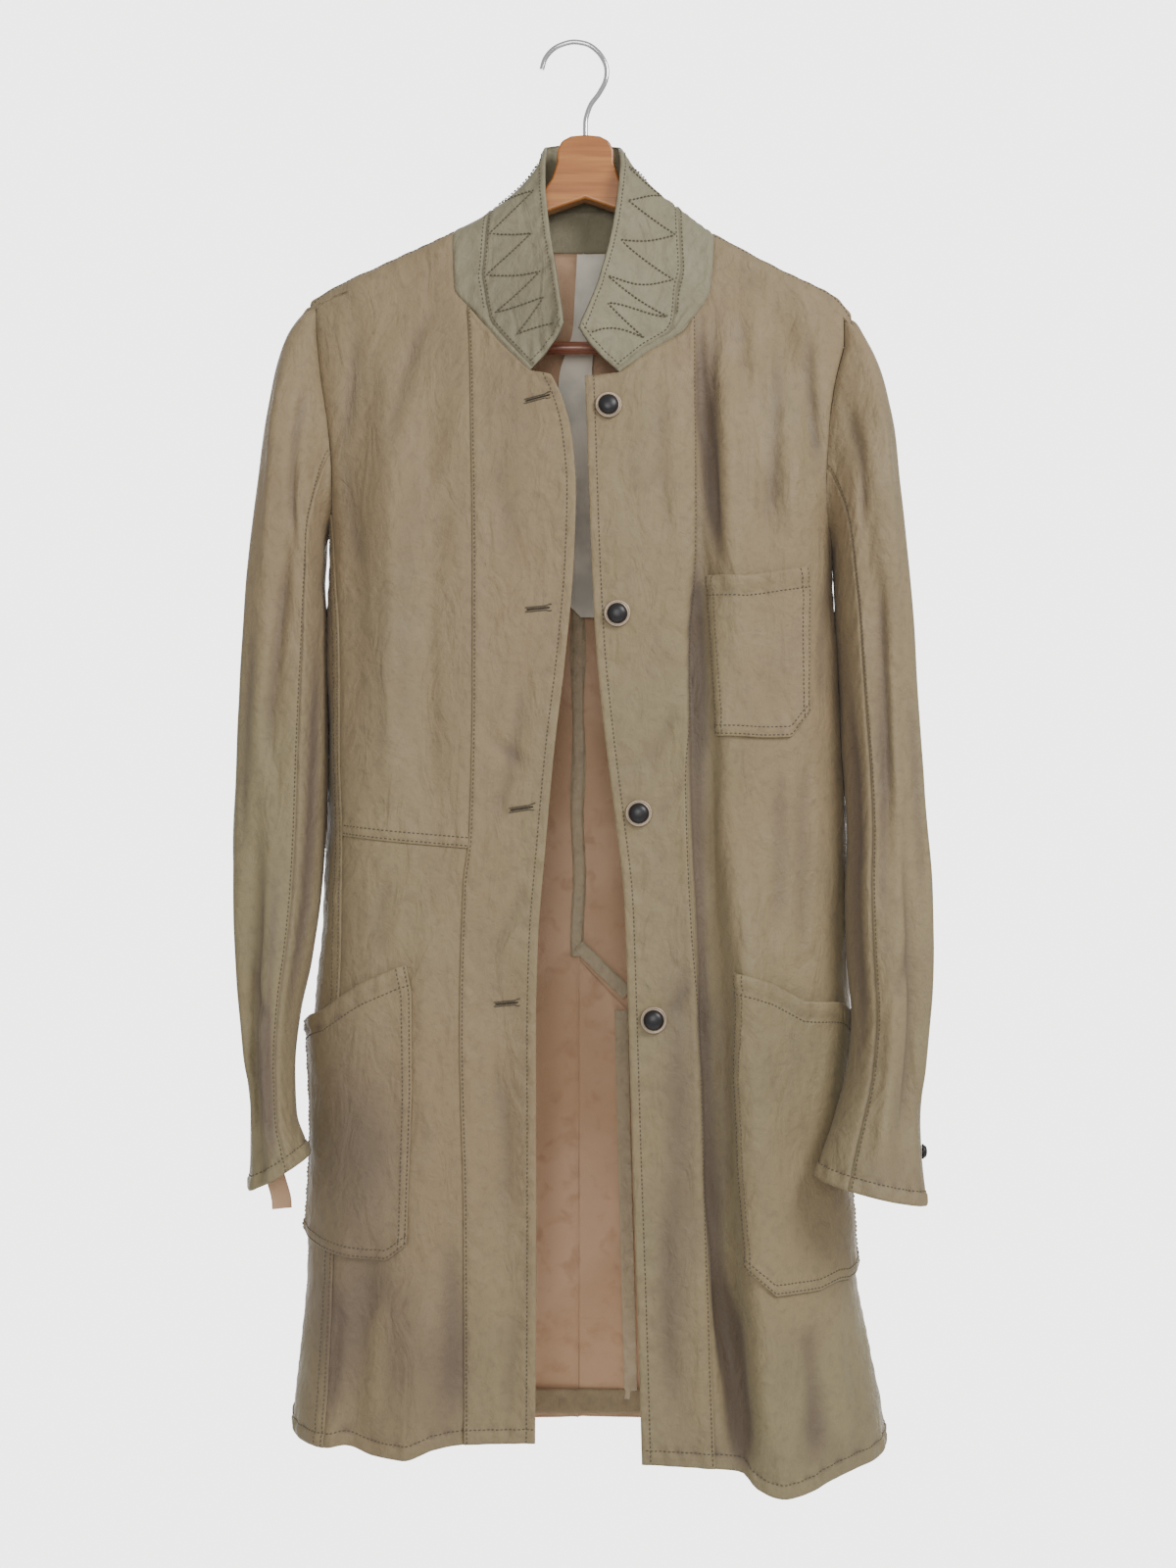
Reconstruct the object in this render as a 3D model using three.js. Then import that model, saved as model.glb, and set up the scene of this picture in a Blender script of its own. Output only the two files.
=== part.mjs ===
import * as THREE from 'three';

// An unlined leather work coat that hangs open on a wooden hanger.
// Millimetres, +Z up, front towards -Y. The origin is the inside top of the
// hanger's hook. Right and left are the wearer's, so right is -X.

// Leather and seams
const WALL = 1.4;              // glove leather, one layer
const SEAM = 0.3;              // space between two pieces at a seam
const LIFT = 0.3;              // space under a piece that lies on another
const BUTTON_LIFT = 0.6;       // a sewn button stands on its thread
const POCKET_LIFT = 1.0;       // a pocket's edge over the turned seam allowance

// Over the shoulder the coat turns on a quarter ellipse, front and back
const CROWN_REACH = 18;        // from the ridge line forwards or backwards
const CROWN_DROP = 14;         // from the ridge line down
const CROWN_ARC = 25;          // length of that quarter turn
const SHOULDER_SEAM = -9;      // the seam lies this far in front of the ridge
const CHEST_RUN = 200;         // drop over which the depth grows to its full size
const SIDE_TURN = 56;          // width of the rounded side, each way

// Hanger
const HANGER_X = 5.5;
const BOARD_THICK = 14;
const BOARD_EDGE = 1.5;
const BOARD_REST = 3.7;        // board under the coat's ridge line
const ARM_DEPTH = 31;
const ARM_END = 184;
const BAR_Z = -232;
const BAR_RADIUS = 5;
const HOOK_RADIUS = 2;

// Buttons
const BUTTON_RADIUS = 10;
const BUTTON_DOME = 7.5;
const CUFF_BUTTON_RADIUS = 5.5;

const RIGHT = -1;
const LEFT = 1;
const FRONT = -1;
const BACK = 1;

// The ridge of each shoulder: height at a distance from the centre line
const RIDGE = {
  [RIGHT]: [
    { s: 0, z: -95.5 }, { s: 60, z: -126.3 }, { s: 95, z: -144 }, { s: 150, z: -169.5 },
    { s: 190, z: -189 }, { s: 211, z: -199 }, { s: 330, z: -262 },
  ],
  [LEFT]: [
    { s: 0, z: -95.5 }, { s: 60, z: -125.8 }, { s: 103, z: -145.5 }, { s: 142, z: -166.5 },
    { s: 173, z: -182 }, { s: 197, z: -194 }, { s: 216, z: -209 }, { s: 330, z: -275 },
  ],
};

// Half width of the body and how deep it stands in front of and behind the ridge
const BODY = [
  { z: -90, right: 212, left: 216, frontRight: 44, frontLeft: 44, back: 24 },
  { z: -230, right: 211, left: 215, frontRight: 46, frontLeft: 46, back: 25 },
  { z: -310, right: 201, left: 203, frontRight: 50, frontLeft: 49, back: 26 },
  { z: -385, right: 190, left: 193, frontRight: 52, frontLeft: 51, back: 29 },
  { z: -470, right: 192, left: 199, frontRight: 55, frontLeft: 52, back: 31 },
  { z: -560, right: 193, left: 204, frontRight: 57, frontLeft: 53, back: 33 },
  { z: -660, right: 194, left: 206, frontRight: 58, frontLeft: 56, back: 34 },
  { z: -750, right: 201, left: 207, frontRight: 60, frontLeft: 60, back: 35 },
  { z: -850, right: 204, left: 208, frontRight: 62, frontLeft: 65, back: 37 },
  { z: -930, right: 206, left: 211, frontRight: 65, frontLeft: 70, back: 38 },
  { z: -1000, right: 213, left: 223, frontRight: 68, frontLeft: 75, back: 39 },
  { z: -1045, right: 217, left: 232, frontRight: 70, frontLeft: 79, back: 40 },
  { z: -1110, right: 219, left: 238, frontRight: 71, frontLeft: 83, back: 41 },
];

// The largest folds. Each runs from its top to its foot and stands out, or
// falls in where out is negative; spread is its half width.
const FOLDS = [
  { side: LEFT, face: FRONT, topX: 91, topZ: -215, footX: 97, footZ: -560, spread: 11, out: -10 },
  { side: LEFT, face: FRONT, topX: 97, topZ: -470, footX: 119, footZ: -1130, spread: 12, out: -15 },
  { side: LEFT, face: FRONT, topX: 108, topZ: -240, footX: 122, footZ: -640, spread: 15, out: 7 },
  { side: LEFT, face: FRONT, topX: 116, topZ: -560, footX: 150, footZ: -1200, spread: 24, out: 17 },
  { side: LEFT, face: FRONT, topX: 150, topZ: -190, footX: 182, footZ: -360, spread: 12, out: -7 },
  { side: LEFT, face: FRONT, topX: 124, topZ: -210, footX: 150, footZ: -420, spread: 13, out: -4 },
  { side: LEFT, face: FRONT, topX: 197, topZ: -410, footX: 196, footZ: -820, spread: 12, out: -7 },
  { side: LEFT, face: FRONT, topX: 196, topZ: -915, footX: 212, footZ: -1180, spread: 22, out: -8 },
  { side: RIGHT, face: FRONT, topX: -106, topZ: -220, footX: -110, footZ: -640, spread: 15, out: -5 },
  { side: RIGHT, face: FRONT, topX: -162, topZ: -225, footX: -167, footZ: -560, spread: 14, out: -7 },
  { side: RIGHT, face: FRONT, topX: -134, topZ: -240, footX: -140, footZ: -600, spread: 16, out: 4 },
  { side: RIGHT, face: FRONT, topX: -150, topZ: -880, footX: -172, footZ: -1120, spread: 14, out: -9 },
  { side: RIGHT, face: FRONT, topX: -112, topZ: -900, footX: -128, footZ: -1200, spread: 20, out: 9 },
  { side: RIGHT, face: FRONT, topX: -60, topZ: -640, footX: -52, footZ: -1020, spread: 16, out: -4 },
  { side: RIGHT, face: BACK, topX: -150, topZ: -230, footX: -120, footZ: -640, spread: 20, out: -6 },
  { side: RIGHT, face: BACK, topX: -60, topZ: -560, footX: -85, footZ: -1150, spread: 24, out: 9 },
  { side: RIGHT, face: BACK, topX: -130, topZ: -640, footX: -155, footZ: -1150, spread: 22, out: -8 },
  { side: LEFT, face: BACK, topX: 145, topZ: -230, footX: 118, footZ: -600, spread: 20, out: -6 },
  { side: LEFT, face: BACK, topX: 70, topZ: -600, footX: 95, footZ: -1150, spread: 24, out: 8 },
  { side: LEFT, face: BACK, topX: 138, topZ: -560, footX: 168, footZ: -1150, spread: 24, out: -8 },
];

const FOLD_START = 0.25;       // shares of a fold's length in which it comes and goes
const FOLD_END = 0.33;

// Seams and edges of the body, each from its top down
const BAND_SEAM = {
  [RIGHT]: [
    { x: -83, z: -205.6 }, { x: -80.5, z: -257 }, { x: -78, z: -390 }, { x: -77.8, z: -500 },
    { x: -80.2, z: -604 }, { x: -84.5, z: -640 }, { x: -87, z: -745 }, { x: -84, z: -882 },
    { x: -83, z: -1047.5 },
  ],
  [LEFT]: [
    { x: 88.5, z: -212 }, { x: 88.4, z: -260 }, { x: 88, z: -390 }, { x: 84.8, z: -503 },
    { x: 80.5, z: -560 }, { x: 84.5, z: -669 }, { x: 90.9, z: -749 }, { x: 95, z: -900 },
    { x: 100, z: -1062 },
  ],
};
const FRONT_EDGE = {
  [RIGHT]: [
    { x: -20, z: -260.5 }, { x: -11.5, z: -279 }, { x: -4.8, z: -306 }, { x: -1.4, z: -349 },
    { x: -3, z: -400 }, { x: -9, z: -470 }, { x: -17, z: -537 }, { x: -24.2, z: -616 },
    { x: -29.3, z: -681 }, { x: -30.7, z: -740 }, { x: -30.5, z: -900 }, { x: -31, z: -1047 },
  ],
  [LEFT]: [
    { x: 5.3, z: -261.5 }, { x: 6.8, z: -306 }, { x: 8.2, z: -349 }, { x: 9.7, z: -392 },
    { x: 13, z: -458 }, { x: 19, z: -522 }, { x: 27, z: -587 }, { x: 34.2, z: -652 },
    { x: 37.1, z: -739 }, { x: 40, z: -840 }, { x: 43.6, z: -950 }, { x: 46.5, z: -1059 },
  ],
};
const NECK_SEAM = {
  [RIGHT]: [
    { x: -95.2, z: -157 }, { x: -94.6, z: -175 }, { x: -93.5, z: -192 }, { x: -83, z: -205.6 },
    { x: -57.8, z: -235 }, { x: -36, z: -257 }, { x: -20, z: -260.5 },
  ],
  [LEFT]: [
    { x: 102.6, z: -158 }, { x: 101.6, z: -175 }, { x: 100.3, z: -191.5 }, { x: 88.5, z: -212 },
    { x: 78, z: -227 }, { x: 52.5, z: -242 }, { x: 31, z: -258.5 }, { x: 5.3, z: -261.5 },
  ],
};
const BACK_NECK = [
  { x: 0, z: -155 }, { x: 20, z: -154.8 }, { x: 40, z: -153.5 }, { x: 58, z: -151.8 }, { x: 75, z: -149 },
];
const SHOULDER = {
  [RIGHT]: { neck: 95.2, tip: 211 },
  [LEFT]: { neck: 103, tip: 216 },
};
const ARMHOLE = {
  [RIGHT]: {
    [FRONT]: [
      { x: -198.5, z: -222 }, { x: -194, z: -261 }, { x: -189.5, z: -291 }, { x: -186.5, z: -331 },
      { x: -187.5, z: -362 }, { x: -190, z: -378 },
    ],
    [BACK]: [
      { x: -201, z: -222 }, { x: -196, z: -261 }, { x: -191, z: -300 }, { x: -188, z: -340 },
      { x: -188.5, z: -366 }, { x: -190, z: -378 },
    ],
  },
  [LEFT]: {
    [FRONT]: [
      { x: 203, z: -232 }, { x: 195, z: -262 }, { x: 190, z: -295 }, { x: 187.6, z: -341 },
      { x: 189.6, z: -372 }, { x: 193, z: -388 },
    ],
    [BACK]: [
      { x: 205, z: -232 }, { x: 198, z: -266 }, { x: 193, z: -305 }, { x: 190.5, z: -350 },
      { x: 191.5, z: -376 }, { x: 193, z: -388 },
    ],
  },
};
const SIDE_FRONT_SEAM = [
  { x: -187.5, z: -362 }, { x: -182, z: -405 }, { x: -178.2, z: -459 }, { x: -177.8, z: -536 },
  { x: -176, z: -604 }, { x: -178, z: -760 }, { x: -182, z: -930 }, { x: -187, z: -1053 },
];
const WAIST_SEAM = [{ x: -80.6, z: -613 }, { x: -128, z: -609 }, { x: -176, z: -604 }];
const HEM = {
  [RIGHT]: {
    [FRONT]: [
      { x: -31, z: -1047 }, { x: -83, z: -1047.5 }, { x: -105, z: -1050 }, { x: -128, z: -1057 },
      { x: -150, z: -1056 }, { x: -172, z: -1051 }, { x: -187, z: -1053 }, { x: -205, z: -1053 },
      { x: -300, z: -1046 },
    ],
    [BACK]: [
      { x: 0, z: -1062 }, { x: -60, z: -1063 }, { x: -130, z: -1059 }, { x: -300, z: -1046 },
    ],
  },
  [LEFT]: {
    [FRONT]: [
      { x: 46.5, z: -1059 }, { x: 100, z: -1062 }, { x: 118, z: -1064 }, { x: 130, z: -1074 },
      { x: 150, z: -1080 }, { x: 168, z: -1077 }, { x: 186, z: -1070 }, { x: 210, z: -1066 },
      { x: 300, z: -1061 },
    ],
    [BACK]: [
      { x: 0, z: -1062 }, { x: 60, z: -1063 }, { x: 140, z: -1064 }, { x: 300, z: -1061 },
    ],
  },
};

// Pockets, corner by corner, and how far the mouth stands off at its ends
const POCKETS = {
  pocket_chest: {
    side: LEFT, gapInner: 1.2, gapOuter: 2.0, columns: 8, rows: 8,
    mouth: [{ x: 96.5, z: -411 }, { x: 120, z: -412 }, { x: 145, z: -408.5 }, { x: 168.6, z: -404.4 }],
    inner: [{ x: 96.5, z: -411 }, { x: 101, z: -466 }, { x: 104.5, z: -529.5 }],
    outer: [{ x: 168.6, z: -404.4 }, { x: 171.6, z: -422 }, { x: 171.6, z: -466 }, { x: 170.4, z: -512 }],
    foot: [{ x: 104.5, z: -529.5 }, { x: 131.6, z: -531.3 }, { x: 157.5, z: -531 }, { x: 170.4, z: -512 }],
  },
  pocket_lower_right: {
    side: RIGHT, gapInner: 1.0, gapOuter: 3.4, columns: 12, rows: 12,
    mouth: [{ x: -125.9, z: -698.5 }, { x: -134, z: -700.7 }, { x: -160, z: -713 }, { x: -186, z: -734 },
      { x: -300, z: -747 }],
    inner: [{ x: -125.9, z: -698.5 }, { x: -122, z: -719 }, { x: -121.5, z: -790 }, { x: -125.2, z: -903 }],
    outer: [{ x: -300, z: -747 }, { x: -300, z: -830 }, { x: -300, z: -905 }],
    foot: [{ x: -125.2, z: -903 }, { x: -140, z: -915 }, { x: -166, z: -914 }, { x: -300, z: -905 }],
  },
  pocket_lower_left: {
    side: LEFT, gapInner: 1.0, gapOuter: 3.4, columns: 12, rows: 10,
    mouth: [{ x: 118.5, z: -703 }, { x: 141, z: -711.6 }, { x: 165, z: -725 }, { x: 300, z: -742 }],
    inner: [{ x: 118.5, z: -703 }, { x: 117, z: -775 }, { x: 120, z: -845 }, { x: 125, z: -915.6 }],
    outer: [{ x: 300, z: -742 }, { x: 300, z: -830 }, { x: 300, z: -930 }],
    foot: [{ x: 125, z: -915.6 }, { x: 142, z: -935 }, { x: 176, z: -935.4 }, { x: 300, z: -930 }],
  },
};

// Collar: the outer edge against the neck seam, from the right notch round the
// back to the left notch. Share is the place along the seam.
const COLLAR_EDGE = [
  { share: 0, x: -12, y: -50, z: -224 }, { share: 0.066, x: -16.6, y: -42, z: -185 },
  { share: 0.185, x: -22, y: -30, z: -145 }, { share: 0.26, x: -25, y: -22, z: -113 },
  { share: 0.336, x: -26, y: -12, z: -87 }, { share: 0.39, x: -26, y: 8, z: -76 },
  { share: 0.455, x: -16, y: 27, z: -69 }, { share: 0.509, x: 3, y: 33, z: -66 },
  { share: 0.563, x: 22, y: 27, z: -69 }, { share: 0.628, x: 33, y: 8, z: -76 },
  { share: 0.682, x: 33, y: -12, z: -87 }, { share: 0.769, x: 30, y: -23, z: -121 },
  { share: 0.844, x: 26, y: -31, z: -149 }, { share: 0.952, x: 16.3, y: -42, z: -189 },
  { share: 1, x: 1.7, y: -51, z: -227.5 },
];
const STAND_SHARE = 0.36;      // the stand's part of the collar's height

// Sleeves: outer and inner edge seen from the front, and the depth, per ring
const SLEEVES = {
  [RIGHT]: [
    { outX: -207, outZ: -201, inX: -192, inZ: -377, y: -2, front: 30, back: 27 },
    { outX: -216, outZ: -214, inX: -195.5, inZ: -391, y: -4, front: 34, back: 32 },
    { outX: -225, outZ: -230, inX: -195, inZ: -404, y: -7, front: 37, back: 34 },
    { outX: -231, outZ: -254, inX: -194, inZ: -418, y: -9, front: 39, back: 36 },
    { outX: -236, outZ: -290, inX: -193.5, inZ: -440, y: -11, front: 40, back: 37 },
    { outX: -241, outZ: -332, inX: -193, inZ: -466, y: -12, front: 40, back: 37 },
    { outX: -246.5, outZ: -382, inX: -193, inZ: -497, y: -14, front: 39, back: 37 },
    { outX: -252, outZ: -436, inX: -193, inZ: -532, y: -16, front: 38, back: 37 },
    { outX: -255.5, outZ: -490, inX: -193.5, inZ: -568, y: -18, front: 37, back: 36 },
    { outX: -257.5, outZ: -548, inX: -194, inZ: -608, y: -20, front: 36, back: 35 },
    { outX: -258, outZ: -608, inX: -195.5, inZ: -652, y: -23, front: 35, back: 34 },
    { outX: -255.5, outZ: -664, inX: -200, inZ: -694, y: -26, front: 34, back: 33 },
    { outX: -252, outZ: -716, inX: -209, inZ: -737, y: -29, front: 33, back: 32 },
    { outX: -248, outZ: -766, inX: -213, inZ: -776, y: -32, front: 32, back: 31 },
    { outX: -243.5, outZ: -812, inX: -211, inZ: -812, y: -37, front: 32, back: 30 },
    { outX: -243, outZ: -842, inX: -205, inZ: -828, y: -40, front: 33, back: 30 },
    { outX: -244, outZ: -866, inX: -199, inZ: -841, y: -43, front: 35, back: 30 },
  ],
  [LEFT]: [
    { outX: 211, outZ: -211, inX: 195, inZ: -387, y: -2, front: 30, back: 27 },
    { outX: 220, outZ: -225, inX: 200, inZ: -400, y: -5, front: 34, back: 32 },
    { outX: 228, outZ: -241, inX: 202.5, inZ: -412, y: -8, front: 37, back: 34 },
    { outX: 233.5, outZ: -262, inX: 203.5, inZ: -426, y: -10, front: 39, back: 36 },
    { outX: 238.5, outZ: -294, inX: 203.5, inZ: -446, y: -12, front: 40, back: 37 },
    { outX: 242.5, outZ: -336, inX: 203.5, inZ: -470, y: -14, front: 40, back: 37 },
    { outX: 247.5, outZ: -386, inX: 204, inZ: -500, y: -17, front: 39, back: 36 },
    { outX: 252, outZ: -438, inX: 204.5, inZ: -534, y: -20, front: 38, back: 36 },
    { outX: 255, outZ: -492, inX: 206, inZ: -570, y: -24, front: 37, back: 35 },
    { outX: 258, outZ: -550, inX: 205.5, inZ: -610, y: -28, front: 36, back: 34 },
    { outX: 260, outZ: -608, inX: 205, inZ: -652, y: -33, front: 36, back: 33 },
    { outX: 261.5, outZ: -664, inX: 208, inZ: -694, y: -38, front: 36, back: 32 },
    { outX: 260.5, outZ: -716, inX: 206, inZ: -734, y: -46, front: 36, back: 31 },
    { outX: 256, outZ: -766, inX: 198, inZ: -774, y: -55, front: 35, back: 30 },
    { outX: 251, outZ: -808, inX: 188, inZ: -808, y: -66, front: 34, back: 29 },
    { outX: 249.5, outZ: -838, inX: 179, inZ: -830, y: -76, front: 33, back: 27 },
    { outX: 252, outZ: -869, inX: 171.5, inZ: -849, y: -82, front: 33, back: 25 },
  ],
};
const SLEEVE_SEAM_FRONT = 120;   // degrees round the sleeve from its outer edge
const SLEEVE_SEAM_BACK = -40;
const SLEEVE_FOLDS = [
  { side: RIGHT, turn: 88, top: 0.12, foot: 0.66, spread: 20, out: -6 },
  { side: RIGHT, turn: 62, top: 0.5, foot: 1.1, spread: 16, out: -7 },
  { side: RIGHT, turn: 24, top: 0.2, foot: 0.9, spread: 20, out: 3 },
  { side: RIGHT, turn: -90, top: 0.3, foot: 0.9, spread: 20, out: -5 },
  { side: LEFT, turn: 96, top: 0.14, foot: 0.74, spread: 18, out: -6 },
  { side: LEFT, turn: 58, top: 0.35, foot: 1.05, spread: 18, out: -6 },
  { side: LEFT, turn: 28, top: 0.15, foot: 0.8, spread: 18, out: 3 },
  { side: LEFT, turn: -95, top: 0.3, foot: 0.9, spread: 20, out: -5 },
];

// The bare cloth label that hangs inside the back neck
const LABEL_THICK = 0.8;
const LABEL = [
  { z: -156, x: 10, half: 11, hang: 0 }, { z: -190, x: 6, half: 9, hang: 3 },
  { z: -214, x: 4, half: 8.5, hang: 4 }, { z: -250, x: -2, half: 13, hang: 5 },
  { z: -310, x: -2, half: 17, hang: 6 }, { z: -370, x: 0, half: 18, hang: 6 },
  { z: -418, x: 4, half: 17, hang: 6 }, { z: -436, x: 9, half: 7, hang: 6 },
];

const BUTTONS = [
  { x: 22.6, z: -284.7 }, { x: 29.1, z: -439.5 }, { x: 44.9, z: -587.1 }, { x: 55.7, z: -739 },
];

const vec = (x, y, z) => new THREE.Vector3(x, y, z);
const mix = (a, b, t) => a + (b - a) * t;
const clamp = (v, low = 0, high = 1) => Math.min(high, Math.max(low, v));
const smooth = (t) => { const c = clamp(t); return c * c * (3 - 2 * c); };

// A column of a table, read smoothly between its rows (monotone cubic)
function read(table, key, value, column) {
  const rows = table[0][key] < table[table.length - 1][key] ? table : [...table].reverse();
  const last = rows.length - 1;
  if (value <= rows[0][key]) return rows[0][column];
  if (value >= rows[last][key]) return rows[last][column];
  let i = 0;
  while (value > rows[i + 1][key]) i += 1;
  const run = (k) => rows[k + 1][key] - rows[k][key];
  const slope = (k) => (rows[k + 1][column] - rows[k][column]) / run(k);
  const tangent = (k) => {
    if (k === 0) return slope(0);
    if (k === last) return slope(last - 1);
    const [a, b] = [slope(k - 1), slope(k)];
    return a * b <= 0 ? 0 : (2 * a * b) / (a + b);
  };
  const h = run(i);
  const t = (value - rows[i][key]) / h;
  const [m0, m1] = [tangent(i) * h, tangent(i + 1) * h];
  return (2 * t ** 3 - 3 * t ** 2 + 1) * rows[i][column] + (t ** 3 - 2 * t ** 2 + t) * m0
    + (3 * t ** 2 - 2 * t ** 3) * rows[i + 1][column] + (t ** 3 - t ** 2) * m1;
}

const ridge = (side, s) => read(RIDGE[side], 's', s, 'z');
const halfWidth = (side, z) => read(BODY, 'z', z, side === RIGHT ? 'right' : 'left');
function fullDepth(side, face, z) {
  if (face === BACK) return read(BODY, 'z', z, 'back');
  return read(BODY, 'z', z, side === RIGHT ? 'frontRight' : 'frontLeft');
}
const turnArc = (side, z) => (Math.PI / 4) * (SIDE_TURN + fullDepth(side, FRONT, z));

function foldAt(side, face, x, z) {
  let out = 0;
  for (const fold of FOLDS) {
    if (fold.side !== side || fold.face !== face) continue;
    const t = (fold.topZ - z) / (fold.topZ - fold.footZ);
    if (t <= 0 || t >= 1) continue;
    const across = (x - mix(fold.topX, fold.footX, t)) / fold.spread;
    out += fold.out * Math.exp(-across * across) * smooth(t / FOLD_START) * smooth((1 - t) / FOLD_END);
  }
  return out;
}

// A point of the body: s runs round it from the centre line to the side seam,
// w runs over the shoulder from the ridge, down the front where it is negative
// and down the back where it is positive.
function bodyPoint(side, s, w) {
  const face = w < 0 ? FRONT : BACK;
  const over = Math.abs(w);
  const lean = Math.min(over / CROWN_ARC, 1) * Math.PI / 2;
  const drop = CROWN_DROP * (1 - Math.cos(lean)) + Math.max(over - CROWN_ARC, 0);
  const z = ridge(side, s) - drop;
  const flat = halfWidth(side, z) - SIDE_TURN;
  const round = clamp((s - flat) / turnArc(side, z)) * Math.PI / 2;
  const x = side * (s <= flat ? s : flat + SIDE_TURN * Math.sin(round));
  const depth = fullDepth(side, face, z);
  const grown = mix(CROWN_REACH, depth, smooth(drop / CHEST_RUN));
  const fold = foldAt(side, face, x, z) * Math.sin(lean);
  return vec(x, face * (grown * Math.sin(lean) + fold) * Math.cos(round), z);
}

const STEP = 0.5;
function bodyNormal(side, run, w) {
  const { z } = bodyPoint(side, run, w);
  const s = Math.min(run, halfWidth(side, z) - SIDE_TURN + turnArc(side, z) - 2 * STEP);
  const across = bodyPoint(side, s + STEP, w).sub(bodyPoint(side, s - STEP, w));
  const down = bodyPoint(side, s, w + STEP).sub(bodyPoint(side, s, w - STEP));
  return across.cross(down).normalize().multiplyScalar(side);
}

// The place (s, w) of a point given by its x and z on one face of the body
function place(side, face, x, z) {
  const flat = halfWidth(side, z) - SIDE_TURN;
  const far = Math.abs(x);
  const turn = Math.asin(clamp((far - flat) / SIDE_TURN)) / (Math.PI / 2);
  const s = far <= flat ? far : flat + turn * turnArc(side, z);
  const drop = Math.max(ridge(side, s) - z, 0);
  const crown = Math.acos(clamp(1 - drop / CROWN_DROP, 0, 1)) / (Math.PI / 2) * CROWN_ARC;
  return { s, w: face * (drop <= CROWN_DROP ? crown : CROWN_ARC + drop - CROWN_DROP) };
}
const places = (side, face, rows) => rows.map(({ x, z }) => place(side, face, x, z));

// Places along a seam, read from its table at each given height
const seamAt = (side, face, table, heights) => heights.map((z) => (
  place(side, face, read(table, 'z', z, 'x'), z)));

// Places along an edge, read from its table at each given distance from the centre
const edgeAt = (side, face, table, distances) => distances.map((far) => (
  place(side, face, side * far, read(table, 'x', side * far, 'z'))));

const steps = (from, to, count) => Array.from({ length: count + 1 }, (_, i) => mix(from, to, i / count));

// A four-sided panel between the places on its top, bottom, inner and outer sides
function patch({ top, bottom, inner, outer }) {
  const [columns, rows] = [top.length - 1, inner.length - 1];
  return inner.map((_, r) => top.map((__, c) => {
    const [u, v] = [c / columns, r / rows];
    const blend = (k) => (1 - v) * top[c][k] + v * bottom[c][k] + (1 - u) * inner[r][k] + u * outer[r][k]
      - (1 - u) * (1 - v) * top[0][k] - u * (1 - v) * top[columns][k]
      - (1 - u) * v * bottom[0][k] - u * v * bottom[columns][k];
    return { s: blend('s'), w: blend('w') };
  }));
}

// A closed wall between a grid of outer points and the same grid moved inwards
function wall(points, normals, thickness) {
  const [rows, columns] = [points.length - 1, points[0].length - 1];
  const positions = [0, 1].flatMap((layer) => points.flatMap((row, r) => row.flatMap((p, c) => (
    p.clone().addScaledVector(normals[r][c], -thickness * layer).toArray()))));
  const layerSize = (rows + 1) * (columns + 1);
  const at = (r, c, layer = 0) => layer * layerSize + r * (columns + 1) + c;
  const [r0, c0] = [Math.floor(rows / 2), Math.floor(columns / 2)];
  const across = points[r0][c0 + 1].clone().sub(points[r0][c0]);
  const down = points[r0 + 1][c0].clone().sub(points[r0][c0]);
  const forward = across.cross(down).dot(normals[r0][c0]) > 0;
  const index = [];
  const quad = (a, b, c, d) => index.push(...(forward ? [a, b, c, a, c, d] : [a, c, b, a, d, c]));
  const border = (a, b) => quad(b, a, a + layerSize, b + layerSize);
  for (let r = 0; r < rows; r += 1) {
    for (let c = 0; c < columns; c += 1) {
      quad(at(r, c), at(r, c + 1), at(r + 1, c + 1), at(r + 1, c));
      quad(at(r + 1, c, 1), at(r + 1, c + 1, 1), at(r, c + 1, 1), at(r, c, 1));
    }
    border(at(r, columns), at(r + 1, columns));
    border(at(r + 1, 0), at(r, 0));
  }
  for (let c = 0; c < columns; c += 1) {
    border(at(0, c), at(0, c + 1));
    border(at(rows, c + 1), at(rows, c));
  }
  const geometry = new THREE.BufferGeometry();
  geometry.setAttribute('position', new THREE.Float32BufferAttribute(positions, 3));
  geometry.setIndex(index);
  geometry.computeVertexNormals();
  return geometry;
}

// Points and normals of a body panel, lifted off the body where it lies on another
function panelGrid(side, grid, lift = () => 0) {
  const [rows, columns] = [grid.length - 1, grid[0].length - 1];
  const normals = grid.map((row) => row.map(({ s, w }) => bodyNormal(side, s, w)));
  const points = grid.map((row, r) => row.map(({ s, w }, c) => (
    bodyPoint(side, s, w).addScaledVector(normals[r][c], lift(c / columns, r / rows)))));
  return { points, normals };
}

// Draws the border of a grid of points in by half a seam
function drawIn(points, amount = SEAM / 2) {
  const [rows, columns] = [points.length - 1, points[0].length - 1];
  const towards = (a, b) => b.clone().sub(a).setLength(amount);
  return points.map((row, r) => row.map((p, c) => {
    const moved = p.clone();
    if (r === 0) moved.add(towards(p, points[1][c]));
    if (r === rows) moved.add(towards(p, points[rows - 1][c]));
    if (c === 0) moved.add(towards(p, row[1]));
    if (c === columns) moved.add(towards(p, row[columns - 1]));
    return moved;
  }));
}

const FINISH = {
  leather: { color: 0x968a70, roughness: 0.62, metalness: 0 },
  collar: { color: 0x8c8870, roughness: 0.66, metalness: 0 },
  suede: { color: 0xa07d62, roughness: 0.95, metalness: 0 },
  cotton: { color: 0xc8c3b4, roughness: 0.9, metalness: 0 },
  wood: { color: 0xbe7841, roughness: 0.35, metalness: 0 },
  chrome: { color: 0xcfd0d2, roughness: 0.12, metalness: 1 },
  button: { color: 0x1b181a, roughness: 0.4, metalness: 0 },
};

const group = new THREE.Group();
function add(name, geometry, finish) {
  const mesh = new THREE.Mesh(geometry, new THREE.MeshStandardMaterial(FINISH[finish]));
  mesh.name = name;
  group.add(mesh);
  return mesh;
}

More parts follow.
